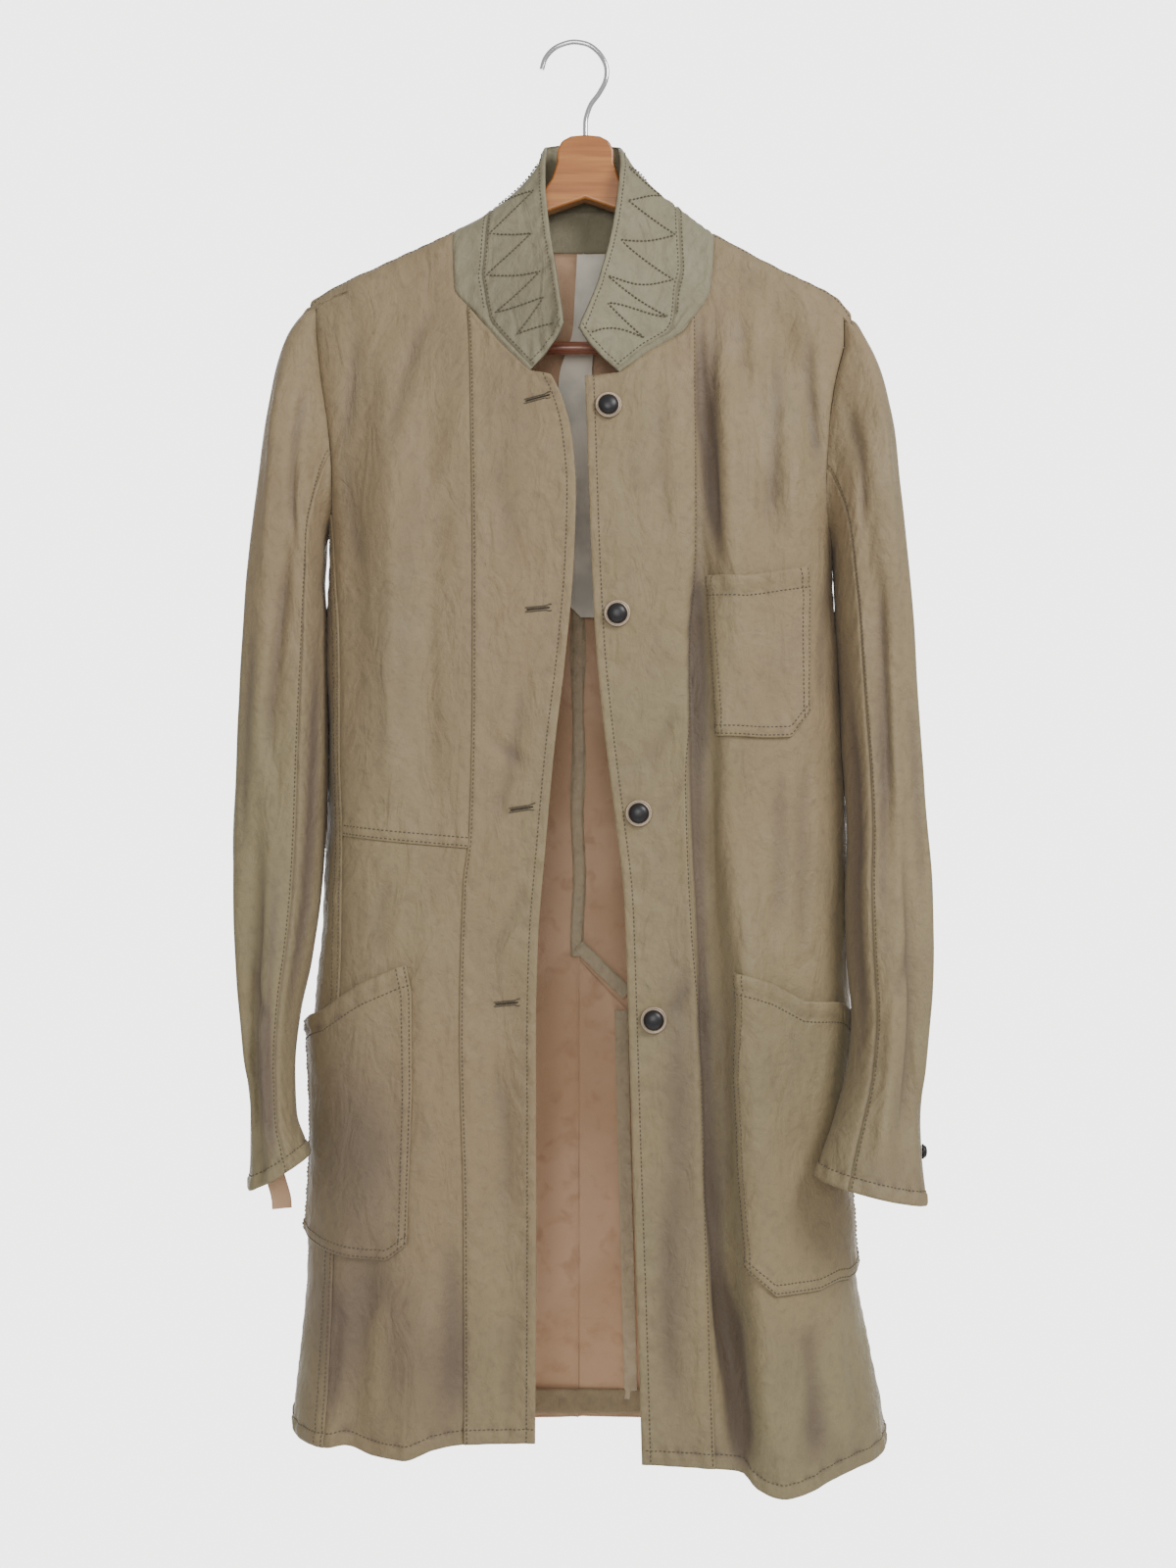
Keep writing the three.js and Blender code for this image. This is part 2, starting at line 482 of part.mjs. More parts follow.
function addPanel(name, side, edges) {
  const { points, normals } = panelGrid(side, patch(edges));
  add(name, wall(drawIn(points), normals, WALL), 'leather');
}

// The body: bands, fronts, side and backs. Pieces that share a seam read it at
// the same heights.
const NECK_HEIGHTS = { [RIGHT]: [-157, -175, -192], [LEFT]: [-158, -175, -191.5] };
const BAND_HEIGHTS = { [RIGHT]: [-205.6, -222, -240, -262], [LEFT]: [-212, -230, -250, -272] };
const ARMHOLE_SHARES = [0.13, 0.24, 0.36, 0.47, 0.59, 0.7, 0.81, 0.91, 1];
const WAIST = { band: -613, side: -604 };
const BODY_ROWS = 18;          // rows from the armpit to the hem
const SIDE = 299;              // any x past the side is read as the side seam
const SIDE_COLUMNS = 4;
const SHOULDER_COLUMNS = { [RIGHT]: 9, [LEFT]: 12 };

const TIP_DROP = 3;            // the armhole's first height below the shoulder's tip
const tipHeight = (side) => ridge(side, SHOULDER[side].tip) - TIP_DROP;
const armpit = (side) => ARMHOLE[side][FRONT].at(-1);
const armholeHeights = (side) => ARMHOLE_SHARES.map((t) => mix(tipHeight(side), armpit(side).z, t));
const shoulderPlace = (side, t) => (
  { s: mix(SHOULDER[side].neck, SHOULDER[side].tip, t), w: SHOULDER_SEAM });
const shoulderSeam = (side) => steps(0, 1, SHOULDER_COLUMNS[side]).map((t) => shoulderPlace(side, t));

// More rows over the shoulder, so that no straight edge cuts its round
const TIP_CROWN = { [FRONT]: [-22], [BACK]: [3, 14, 24] };
const NECK_CROWN = -16;
const armhole = (side, face) => [
  shoulderPlace(side, 1), ...TIP_CROWN[face].map((w) => ({ s: SHOULDER[side].tip, w })),
  ...seamAt(side, face, ARMHOLE[side][face], armholeHeights(side)),
];
const sideFoot = (side) => read(HEM[side][BACK], 'x', side * SIDE, 'z');
const sideHeights = (side) => steps(armpit(side).z, sideFoot(side), BODY_ROWS).slice(1);
const sideSeam = (side, face) => sideHeights(side).map((z) => place(side, face, side * SIDE, z));
const bandTop = (side) => NECK_SEAM[side].slice(NECK_HEIGHTS[side].length);
const hemDistance = (side) => halfWidth(side, sideFoot(side));

function hemPlaces(side, face, from, to, count) {
  const foot = sideFoot(side);
  const [first, last] = [from, to].map((x) => place(side, face, side * Math.abs(x), foot).s);
  const flat = halfWidth(side, foot) - SIDE_TURN;
  return steps(first, last, count).map((s) => {
    const turn = Math.max(s - flat, 0) / turnArc(side, foot) * Math.PI / 2;
    const x = side * (Math.min(s, flat) + SIDE_TURN * Math.sin(turn));
    return place(side, face, x, read(HEM[side][face], 'x', x, 'z'));
  });
}
function hemToSide(side, face, from, count) {
  const hem = hemPlaces(side, face, from, hemDistance(side), count);
  hem[count] = place(side, face, side * SIDE, sideFoot(side));
  return hem;
}

// The band's seam, read down to the hem; the right one has a row at the waist
const BAND_ROWS = { above: 11, below: 14 };
const LEFT_BAND_ROWS = TIP_CROWN[FRONT].length + ARMHOLE_SHARES.length + BODY_ROWS
  - 1 - NECK_HEIGHTS[LEFT].length - BAND_HEIGHTS[LEFT].length;
function bandRows(side) {
  const foot = BAND_SEAM[side].at(-1).z;
  const upper = BAND_HEIGHTS[side];
  if (side === LEFT) return [...upper, ...steps(upper.at(-1), foot, LEFT_BAND_ROWS).slice(1)];
  return [...upper, ...steps(upper.at(-1), WAIST.band, BAND_ROWS.above).slice(1),
    ...steps(WAIST.band, foot, BAND_ROWS.below).slice(1)];
}

function addBand(name, side) {
  const heights = bandRows(side);
  const edge = FRONT_EDGE[side];
  const top = places(side, FRONT, bandTop(side));
  addPanel(name, side, {
    top,
    bottom: hemPlaces(side, FRONT, BAND_SEAM[side].at(-1).x, edge.at(-1).x, top.length - 1),
    inner: seamAt(side, FRONT, BAND_SEAM[side], heights),
    outer: seamAt(side, FRONT, edge, steps(edge[0].z, edge.at(-1).z, heights.length - 1)),
  });
}

// The inner side of a front that starts at the shoulder: neck seam, then band seam
const neckAndBand = (side, heights) => [
  shoulderPlace(side, 0), { s: SHOULDER[side].neck, w: NECK_CROWN },
  ...seamAt(side, FRONT, NECK_SEAM[side], NECK_HEIGHTS[side]),
  ...seamAt(side, FRONT, BAND_SEAM[side], heights),
];

// The right front is cut at the waist, and a side piece runs down from the armpit
function addRightFront() {
  const columns = SHOULDER_COLUMNS[RIGHT];
  const heights = bandRows(RIGHT);
  const above = heights.filter((z) => z >= WAIST.band);
  const below = heights.filter((z) => z <= WAIST.band);
  const waist = edgeAt(RIGHT, FRONT, WAIST_SEAM, steps(-WAIST_SEAM[0].x, -WAIST_SEAM.at(-1).x, columns));
  const armholeRows = armholeHeights(RIGHT).filter((z) => z > SIDE_FRONT_SEAM[0].z);
  const topRows = 1 + TIP_CROWN[FRONT].length + armholeRows.length;
  const sideRows = steps(SIDE_FRONT_SEAM[0].z, WAIST.side,
    NECK_HEIGHTS[RIGHT].length + above.length + 1 - topRows);
  const lowRows = steps(WAIST.side, SIDE_FRONT_SEAM.at(-1).z, below.length - 1);
  addPanel('front_upper_right', RIGHT, {
    top: shoulderSeam(RIGHT),
    bottom: waist,
    inner: neckAndBand(RIGHT, above),
    outer: [...armhole(RIGHT, FRONT).slice(0, topRows), ...seamAt(RIGHT, FRONT, SIDE_FRONT_SEAM, sideRows)],
  });
  addPanel('front_lower_right', RIGHT, {
    top: waist,
    bottom: hemPlaces(RIGHT, FRONT, BAND_SEAM[RIGHT].at(-1).x, SIDE_FRONT_SEAM.at(-1).x, columns),
    inner: seamAt(RIGHT, FRONT, BAND_SEAM[RIGHT], below),
    outer: seamAt(RIGHT, FRONT, SIDE_FRONT_SEAM, lowRows),
  });
  const seam = seamAt(RIGHT, FRONT, SIDE_FRONT_SEAM, [...sideRows, ...lowRows.slice(1)]);
  const [first, last] = [place(RIGHT, FRONT, armpit(RIGHT).x, armpit(RIGHT).z), sideFoot(RIGHT)];
  const outer = steps(armpit(RIGHT).z, last, seam.length - 1).map((z) => place(RIGHT, FRONT, -SIDE, z));
  outer[0] = first;
  const top = steps(0, 1, SIDE_COLUMNS).map((t) => (
    { s: mix(seam[0].s, first.s, t), w: mix(seam[0].w, first.w, t) }));
  addPanel('side_right', RIGHT, {
    top, bottom: hemToSide(RIGHT, FRONT, SIDE_FRONT_SEAM.at(-1).x, SIDE_COLUMNS), inner: seam, outer,
  });
}

function addLeftFront() {
  const outer = [...armhole(LEFT, FRONT), ...sideSeam(LEFT, FRONT)];
  const foot = BAND_SEAM[LEFT].at(-1);
  addPanel('front_left', LEFT, {
    top: shoulderSeam(LEFT),
    bottom: hemToSide(LEFT, FRONT, foot.x, SHOULDER_COLUMNS[LEFT]),
    inner: neckAndBand(LEFT, bandRows(LEFT)),
    outer,
  });
}

const BACK_NECK_TURN = [{ s: -7, w: 11 }, { s: -3, w: 0 }];
const BACK_TOP_ROWS = [-155, -166, -177, -188];
const backNeck = (side) => [
  ...BACK_NECK.map(({ x, z }) => place(side, BACK, side * x, z)),
  ...BACK_NECK_TURN.map(({ s, w }) => ({ s: SHOULDER[side].neck + s, w })),
];
function addBack(name, side) {
  const top = [...backNeck(side), ...shoulderSeam(side)];
  const outer = [...armhole(side, BACK), ...sideSeam(side, BACK)];
  const foot = HEM[side][BACK].find(({ x }) => x === 0).z;
  addPanel(name, side, {
    top,
    bottom: hemToSide(side, BACK, 0, top.length - 1),
    inner: [
      ...BACK_TOP_ROWS,
      ...steps(BACK_TOP_ROWS.at(-1), foot, outer.length - BACK_TOP_ROWS.length).slice(1),
    ].map((z) => place(side, BACK, 0, z)),
    outer,
  });
}

addBand('front_band_right', RIGHT);
addRightFront();
addBand('front_band_left', LEFT);
addLeftFront();
addBack('back_right', RIGHT);
addBack('back_left', LEFT);

// A grid of points on the inside of the back, hung off it by a small amount
function insideBack(rows, columns, at, thick, hang) {
  const points = [];
  const normals = [];
  for (let r = 0; r <= rows; r += 1) {
    points.push([]);
    normals.push([]);
    for (let c = 0; c <= columns; c += 1) {
      const { x, z } = at(c / columns, r / rows);
      const side = x < 0 ? RIGHT : LEFT;
      const { s, w } = place(side, BACK, x, z);
      const normal = bodyNormal(side, s, w);
      normals[r].push(normal);
      points[r].push(bodyPoint(side, s, w).addScaledVector(normal, -(WALL + LIFT + hang(r / rows))));
    }
  }
  return wall(points, normals, thick);
}

// The underlap of the back vent lies inside the left back
const VENT_TOP = { inner: -703, outer: -742 };
const VENT_WIDTH = { top: 38, foot: 46 };
const VENT_FOOT = -1047;
const VENT_HANG = 0.2;
add('back_vent_flap', insideBack(14, 3, (u, v) => ({
  x: mix(0.8, mix(VENT_WIDTH.top, VENT_WIDTH.foot, v), u),
  z: mix(mix(VENT_TOP.inner, VENT_TOP.outer, u), VENT_FOOT, v),
}), WALL, () => VENT_HANG), 'suede');

const labelAt = (z, column) => read(LABEL, 'z', z, column);
add('neck_label', insideBack(14, 2, (u, v) => {
  const z = mix(LABEL[0].z, LABEL.at(-1).z, v);
  return { x: labelAt(z, 'x') + (u * 2 - 1) * labelAt(z, 'half'), z };
}, LABEL_THICK, (v) => labelAt(mix(LABEL[0].z, LABEL.at(-1).z, v), 'hang')), 'cotton');

// Pockets lie on the front and follow it
function along(side, rows, count) {
  const corners = places(side, FRONT, rows).map(({ s, w }) => vec(s, w, 0));
  const path = new THREE.CurvePath();
  corners.slice(1).forEach((corner, i) => path.add(new THREE.LineCurve3(corners[i], corner)));
  return steps(0, 1, count).map((t) => path.getPointAt(t)).map(({ x, y }) => ({ s: x, w: y }));
}
const MOUTH_SHARE = 0.62;      // the mouth stands off over this share of the height
for (const [name, pocket] of Object.entries(POCKETS)) {
  const { side, columns, rows } = pocket;
  const grid = patch({
    top: along(side, pocket.mouth, columns),
    bottom: along(side, pocket.foot, columns),
    inner: along(side, pocket.inner, rows),
    outer: along(side, pocket.outer, rows),
  });
  const lift = (u, v) => (
    WALL + POCKET_LIFT + mix(pocket.gapInner, pocket.gapOuter, u) * smooth(1 - v / MOUTH_SHARE));
  const { points, normals } = panelGrid(side, grid, lift);
  add(name, wall(drawIn(points), normals, WALL), 'leather');
}

// The collar stands on the neck seam, with a column on each of the seam's places. It ends
// a little back from the front edges, as on any coat with a notch there.
const neckPlaces = (side) => [
  ...places(side, FRONT, bandTop(side).slice(0, -1)).reverse(),
  ...seamAt(side, FRONT, NECK_SEAM[side], NECK_HEIGHTS[side]).reverse(),
  shoulderPlace(side, 0), ...backNeck(side).reverse(),
].map(({ s, w }) => ({ point: bodyPoint(side, s, w), normal: bodyNormal(side, s, w) }));
const NECK = [...neckPlaces(RIGHT), ...neckPlaces(LEFT).reverse().slice(1)];
const neckRuns = NECK.reduce((list, { point }, i) => (
  [...list, i ? list[i - 1] + point.distanceTo(NECK[i - 1].point) : 0]), []);
const neckShares = neckRuns.map((run) => run / neckRuns.at(-1));
const COLLAR_BULGE = 3;        // how far its middle falls in towards the neck
const COLLAR_FLAT = 0.4;       // the fall is mostly sideways
const COLLAR_DRAW = 0.22;
const COLLAR_SEAT = 0.4;       // first row above the neck seam
function collarPoint(column, height) {
  const { point } = NECK[column];
  const edge = vec(...['x', 'y', 'z'].map((k) => read(COLLAR_EDGE, 'share', neckShares[column], k)));
  const outward = vec(point.x, point.y * COLLAR_FLAT, 0).normalize();
  const fall = COLLAR_BULGE * 4 * height * (1 - height);
  return point.clone().lerp(edge, height).addScaledVector(outward, -fall);
}
const COLLAR_HEIGHTS = [0, 0.18, STAND_SHARE, 0.57, 0.78, 1];
// The stand's part of the height, by the share of the seam inwards from its ends
const STAND = [
  { inwards: 0, height: 0.06 }, { inwards: 0.09, height: 0.06 }, { inwards: 0.12, height: 0.13 },
  { inwards: 0.165, height: 0.25 }, { inwards: 0.235, height: 0.32 },
  { inwards: 0.3, height: STAND_SHARE }, { inwards: 0.5, height: STAND_SHARE },
];
function collarHeight(row, column) {
  const inwards = Math.min(neckShares[column], 1 - neckShares[column]);
  const stand = read(STAND, 'inwards', inwards, 'height');
  const height = COLLAR_HEIGHTS[row];
  if (height <= STAND_SHARE) return (height / STAND_SHARE) * stand;
  return mix(stand, 1, (height - STAND_SHARE) / (1 - STAND_SHARE));
}
const collarGrid = COLLAR_HEIGHTS.map((_, row) => (
  NECK.map((__, column) => collarPoint(column, collarHeight(row, column)))));
const collarNormals = collarGrid.map((row, r) => row.map((_, c) => {
  if (r === 0) return NECK[c].normal;
  const round = row[Math.min(c + 1, row.length - 1)].clone().sub(row[Math.max(c - 1, 0)]);
  const up = collarGrid[Math.min(r + 1, collarGrid.length - 1)][c].clone().sub(collarGrid[r - 1][c]);
  return round.cross(up).normalize().negate();
}));
function collarPiece(name, fromRow, toRow) {
  const points = drawIn(collarGrid.slice(fromRow, toRow + 1), COLLAR_DRAW);
  if (fromRow === 0) {
    points[0].forEach((p, i) => p.add(points[1][i].clone().sub(p).setLength(COLLAR_SEAT)));
  }
  add(name, wall(points, collarNormals.slice(fromRow, toRow + 1), WALL), 'collar');
}
const STAND_ROW = COLLAR_HEIGHTS.indexOf(STAND_SHARE);
collarPiece('collar_stand', 0, STAND_ROW);
collarPiece('collar_leaf', STAND_ROW, COLLAR_HEIGHTS.length - 1);

// Sleeves: rings from the armhole to the cuff
const RING_BLEND = [1, 0.55, 0.2, 0.05];   // how far the first rings keep the armhole's form
const ARMHOLE_GAP = 0.5;
const UNDERARM = 0.75;         // share of each half from which the armhole runs under the arm
const UNDERARM_LIFT = 2;
const SLEEVE_FOLD_END = 0.25;

// The armhole as a ring: turn is 0 at the shoulder, positive down the front
function armholeRing(side) {
  const half = (face) => {
    const seats = armhole(side, face).map(({ s, w }) => ({
      point: bodyPoint(side, s + ARMHOLE_GAP, w), normal: bodyNormal(side, s, w),
    }));
    let run = 0;
    const runs = seats.map(({ point }, i) => {
      run += i ? point.distanceTo(seats[i - 1].point) : 0;
      return run;
    });
    return seats.map(({ point, normal }, i) => {
      const t = runs[i] / run;
      const low = smooth((t - UNDERARM) / (1 - UNDERARM));
      point.z += UNDERARM_LIFT * low;
      return { point, normal: normal.lerp(vec(0, 0, -1), low).normalize(), turn: -face * t * 180 };
    });
  };
  return [...half(FRONT), ...half(BACK).slice(1, -1).reverse()];
}
function sleeveRings(side) {
  const table = SLEEVES[side];
  const ringSeats = armholeRing(side);
  const count = ringSeats.length;
  const rings = table.map((row, r) => {
    const out = vec(row.outX, 0, row.outZ);
    const inner = vec(row.inX, 0, row.inZ);
    const centre = out.clone().add(inner).multiplyScalar(0.5);
    const half = out.clone().sub(inner).multiplyScalar(0.5);
    const share = r / (table.length - 1);
    return ringSeats.map((seat) => {
      const turn = seat.turn * Math.PI / 180;
      const reach = turn > 0 ? row.front : row.back;
      let fold = 0;
      for (const { side: on, turn: where, top, foot, spread, out: height } of SLEEVE_FOLDS) {
        if (on !== side || share < top || share > foot) continue;
        const across = (seat.turn - where) / spread;
        const t = (share - top) / (foot - top);
        fold += height * Math.exp(-across * across)
          * smooth(t / SLEEVE_FOLD_END) * smooth((1 - t) / SLEEVE_FOLD_END);
      }
      const swell = 1 + fold / reach;
      const point = centre.clone().addScaledVector(half, Math.cos(turn) * swell)
        .add(vec(0, row.y - Math.sin(turn) * reach * swell, 0));
      return point.lerp(seat.point, RING_BLEND[r] ?? 0);
    });
  });
  const normals = rings.map((ring, r) => ring.map((_, k) => {
    if (r === 0) return ringSeats[k].normal;
    const before = ring[(k + count - 1) % count];
    const after = ring[(k + 1) % count];
    const down = rings[Math.min(r + 1, rings.length - 1)][k].clone().sub(rings[r - 1][k]);
    return after.clone().sub(before).cross(down).normalize().multiplyScalar(side);
  }));
  return { rings, normals, turns: ringSeats.map(({ turn }) => turn) };
}
// Half the space along a sleeve's seams, wider where they run onto the armhole
const SLEEVE_DRAW = { top: 0.8, topRings: 2, below: 0.2 };
function addSleeve(side, word) {
  const { rings, normals, turns } = sleeveRings(side);
  const count = turns.length;
  const nearest = (degrees) => turns.reduce((best, turn, k) => (
    Math.abs(turn - degrees) < Math.abs(turns[best] - degrees) ? k : best), 0);
  const part = (from, to) => {
    const columns = Array.from({ length: to - from + 1 }, (_, i) => (from + i + count) % count);
    const points = rings.map((ring, r) => columns.map((k, i) => {
      const amount = r < SLEEVE_DRAW.topRings ? SLEEVE_DRAW.top : SLEEVE_DRAW.below;
      const point = ring[k].clone();
      const inwards = i === 0 ? columns[1] : columns[i - 1];
      const border = i === 0 || i === columns.length - 1;
      return border ? point.add(ring[inwards].clone().sub(point).setLength(amount)) : point;
    }));
    return wall(points, normals.map((row) => columns.map((k) => row[k])), WALL);
  };
  const [front, back] = [nearest(SLEEVE_SEAM_FRONT), nearest(SLEEVE_SEAM_BACK)];
  add(`sleeve_upper_${word}`, part(back - count, front), 'leather');
  add(`sleeve_under_${word}`, part(front, back), 'leather');
}
addSleeve(RIGHT, 'right');
addSleeve(LEFT, 'left');

// The end of the right cuff's strap hangs out below the hem, inside the sleeve
const CUFF_TAB = { turn: -62, width: 15, above: 18, below: 26, lean: -9, seat: 1.8 };
function addCuffTab() {
  const { rings, normals, turns } = sleeveRings(RIGHT);
  const column = turns.findIndex((turn, k) => turn < 0 && turn > CUFF_TAB.turn && k > 0);
  const foot = rings.at(-1)[column];
  const normal = normals.at(-1)[column].clone().setZ(0).normalize();
  const across = vec(0, 0, 1).cross(normal).normalize();
  const seat = foot.clone().addScaledVector(normal, -(WALL + LIFT + CUFF_TAB.seat));
  const points = steps(CUFF_TAB.above, -CUFF_TAB.below, 4).map((z) => steps(-1, 1, 2).map((u) => (
    seat.clone().add(vec(0, 0, z)).addScaledVector(across, u * CUFF_TAB.width / 2
      + CUFF_TAB.lean * smooth((CUFF_TAB.above - z) / (CUFF_TAB.above + CUFF_TAB.below))))));
  add('cuff_tab_right', wall(points, points.map((row) => row.map(() => normal)), WALL), 'leather');
}
addCuffTab();

// Buttons: a wide rim round a domed middle, as shares of their two radii
const BUTTON_PROFILE = [
  { rim: 0, dome: 0, high: 0 }, { rim: 0.92, dome: 0, high: 0 }, { rim: 1, dome: 0, high: 0.1 },
  { rim: 0.95, dome: 0, high: 0.26 }, { rim: 0, dome: 1, high: 0.26 }, { rim: 0, dome: 0.92, high: 0.49 },
  { rim: 0, dome: 0.55, high: 0.65 }, { rim: 0, dome: 0, high: 0.7 },
];
function addButton(name, at, normal, radius, dome) {
  const profile = BUTTON_PROFILE.map((row) => (
    new THREE.Vector2(row.rim * radius + row.dome * dome, row.high * radius)));
  const mesh = add(name, new THREE.LatheGeometry(profile, 14), 'button');
  mesh.position.copy(at).addScaledVector(normal, BUTTON_LIFT);
  mesh.quaternion.setFromUnitVectors(vec(0, 1, 0), normal);
}
BUTTONS.forEach(({ x, z }, i) => {
  const { s, w } = place(LEFT, FRONT, x, z);
  addButton(`button_${i + 1}`, bodyPoint(LEFT, s, w), bodyNormal(LEFT, s, w), BUTTON_RADIUS, BUTTON_DOME);
});

const CUFF_BUTTON = { turn: 52, ring: 0.955 };
{
  const { rings, normals, turns } = sleeveRings(LEFT);
  const ring = Math.round(CUFF_BUTTON.ring * (rings.length - 1));
  const column = turns.findIndex((turn) => turn > CUFF_BUTTON.turn);
  addButton('cuff_button_left', rings[ring][column], normals[ring][column],
    CUFF_BUTTON_RADIUS, CUFF_BUTTON_RADIUS * 0.7);
}

// The hanger: a shaped board, a round bar between its ends and a wire hook
const HUMP = [
  { a: 0, z: -70.5 }, { a: 11, z: -71.5 }, { a: 18, z: -75 }, { a: 21.5, z: -82 }, { a: 22, z: -92 },
  { a: 26, z: -104 }, { a: 36, z: -118 }, { a: 52, z: -131 }, { a: 68, z: -139 },
];
// Ease lowers the arm near the coat's neck and rounds its end
const ARM_TOP = [
  { a: 90, ease: 1.6 }, { a: 102, ease: 1.6 }, { a: 115, ease: 0 }, { a: 140, ease: 0 },
  { a: 160, ease: 0 }, { a: ARM_END - 8, ease: 0 }, { a: ARM_END, ease: 6 },
];
// The lobe that takes the bar: how far back from the arm's end, and height over the bar
const LOBE = [
  { back: 0, over: -4 }, { back: 5, over: -9 }, { back: 17, over: -9 }, { back: 20, over: -6 },
  { back: 20, over: 8 },
];
const ARM_LOW = [150, 100];
const NOTCH = { z: -119, outZ: -133, a: 40 };
const boardHalf = (sign) => {
  const side = sign < 0 ? RIGHT : LEFT;
  const armTop = (a) => ridge(side, a + sign * HANGER_X) - BOARD_REST;
  return [
    ...HUMP, ...ARM_TOP.map(({ a, ease }) => ({ a, z: armTop(a) - ease })),
    ...LOBE.map(({ back, over }) => ({ a: ARM_END - back, z: BAR_Z + over })),
    ...ARM_LOW.map((a) => ({ a, z: armTop(a) - ARM_DEPTH })),
    { a: NOTCH.a, z: NOTCH.outZ }, { a: 0, z: NOTCH.z },
  ].map(({ a, z }) => new THREE.Vector2(HANGER_X + sign * a, z));
};
const outline = [...boardHalf(1), ...boardHalf(-1).slice(1, -1).reverse()];
const board = new THREE.ExtrudeGeometry(new THREE.Shape(outline), {
  depth: BOARD_THICK - 2 * BOARD_EDGE, bevelThickness: BOARD_EDGE, bevelSize: BOARD_EDGE,
  bevelOffset: -BOARD_EDGE, bevelSegments: 1, curveSegments: 1,
});
board.rotateX(Math.PI / 2);
board.translate(0, BOARD_THICK / 2 - BOARD_EDGE, 0);
add('hanger_board', board, 'wood');

const BAR_SEAT = ARM_END - LOBE.at(-1).back - SEAM;
const bar = new THREE.CylinderGeometry(BAR_RADIUS, BAR_RADIUS, 2 * BAR_SEAT, 14);
bar.rotateZ(Math.PI / 2);
add('hanger_bar', bar, 'wood').position.set(HANGER_X, 0, BAR_Z);

const HOOK = [
  { x: -28, z: -19 }, { x: -25, z: -10 }, { x: -18, z: -2.5 }, { x: -8, z: 1.6 }, { x: 0, z: 2 },
  { x: 9, z: -0.5 }, { x: 17, z: -7.5 }, { x: 21.5, z: -17 }, { x: 21, z: -27 }, { x: 16, z: -37 },
  { x: 9.5, z: -46 }, { x: 6, z: -56 }, { x: 5.5, z: -63 }, { x: 5.5, z: HUMP[0].z + SEAM },
];
const hookPath = new THREE.CatmullRomCurve3(HOOK.map(({ x, z }) => vec(x, 0, z)), false, 'centripetal');
const wire = new THREE.Shape().absarc(0, 0, HOOK_RADIUS, 0, 2 * Math.PI);
const hook = new THREE.ExtrudeGeometry(wire, { steps: 26, curveSegments: 5, extrudePath: hookPath });
add('hanger_hook', hook, 'chrome');

export default group;
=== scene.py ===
import math

import bpy
import numpy as np
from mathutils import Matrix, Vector, noise


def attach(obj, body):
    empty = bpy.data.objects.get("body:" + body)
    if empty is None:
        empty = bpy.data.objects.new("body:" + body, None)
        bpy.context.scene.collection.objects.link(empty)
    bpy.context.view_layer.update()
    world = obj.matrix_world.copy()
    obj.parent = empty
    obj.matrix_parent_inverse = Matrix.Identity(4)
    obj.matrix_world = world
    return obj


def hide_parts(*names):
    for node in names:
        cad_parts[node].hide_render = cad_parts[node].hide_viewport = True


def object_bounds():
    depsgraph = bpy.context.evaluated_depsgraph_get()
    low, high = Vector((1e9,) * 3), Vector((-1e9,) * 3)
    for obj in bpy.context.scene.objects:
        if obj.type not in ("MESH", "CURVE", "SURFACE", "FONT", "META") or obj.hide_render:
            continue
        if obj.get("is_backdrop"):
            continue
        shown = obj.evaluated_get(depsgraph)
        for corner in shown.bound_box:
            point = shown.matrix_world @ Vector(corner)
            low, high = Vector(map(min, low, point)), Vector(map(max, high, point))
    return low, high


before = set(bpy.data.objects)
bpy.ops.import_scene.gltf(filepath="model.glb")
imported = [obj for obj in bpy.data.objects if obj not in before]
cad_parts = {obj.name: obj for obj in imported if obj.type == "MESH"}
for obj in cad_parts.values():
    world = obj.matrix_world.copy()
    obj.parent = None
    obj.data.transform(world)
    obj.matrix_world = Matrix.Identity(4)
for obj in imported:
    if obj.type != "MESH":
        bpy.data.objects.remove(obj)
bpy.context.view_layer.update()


# The two backs. Khaki glove leather with its tan suede side inwards, cut in a
# left and a right half that turn over the shoulders and meet in a centre seam.
# Below it the seam opens into a vent.
MM = 0.001
RIGHT, LEFT = -1, 1
FRONT, BACK = -1, 1
WALL = 1.4
CROWN_REACH, CROWN_DROP, CROWN_ARC = 18, 14, 25
SHOULDER_SEAM = -9
CHEST_RUN = 200
SIDE_TURN = 56
SIDE = 299


def columns(names, *rows):
    """A table of numbers under named columns."""
    return dict(zip(names.split(), np.array(rows, float).T))


RIDGE = {
    RIGHT: columns("s z", (0, -95.5), (60, -126.3), (95, -144), (150, -169.5), (190, -189),
                   (211, -199), (330, -262)),
    LEFT: columns("s z", (0, -95.5), (60, -125.8), (103, -145.5), (142, -166.5), (173, -182),
                  (197, -194), (216, -209), (330, -275)),
}
BODY = columns(
    "z right left front_right front_left back",
    (-90, 212, 216, 44, 44, 24), (-230, 211, 215, 46, 46, 25), (-310, 201, 203, 50, 49, 26),
    (-385, 190, 193, 52, 51, 29), (-470, 192, 199, 55, 52, 31), (-560, 193, 204, 57, 53, 33),
    (-660, 194, 206, 58, 56, 34), (-750, 201, 207, 60, 60, 35), (-850, 204, 208, 62, 65, 37),
    (-930, 206, 211, 65, 70, 38), (-1000, 213, 223, 68, 75, 39), (-1045, 217, 232, 70, 79, 40),
    (-1110, 219, 238, 71, 83, 41))

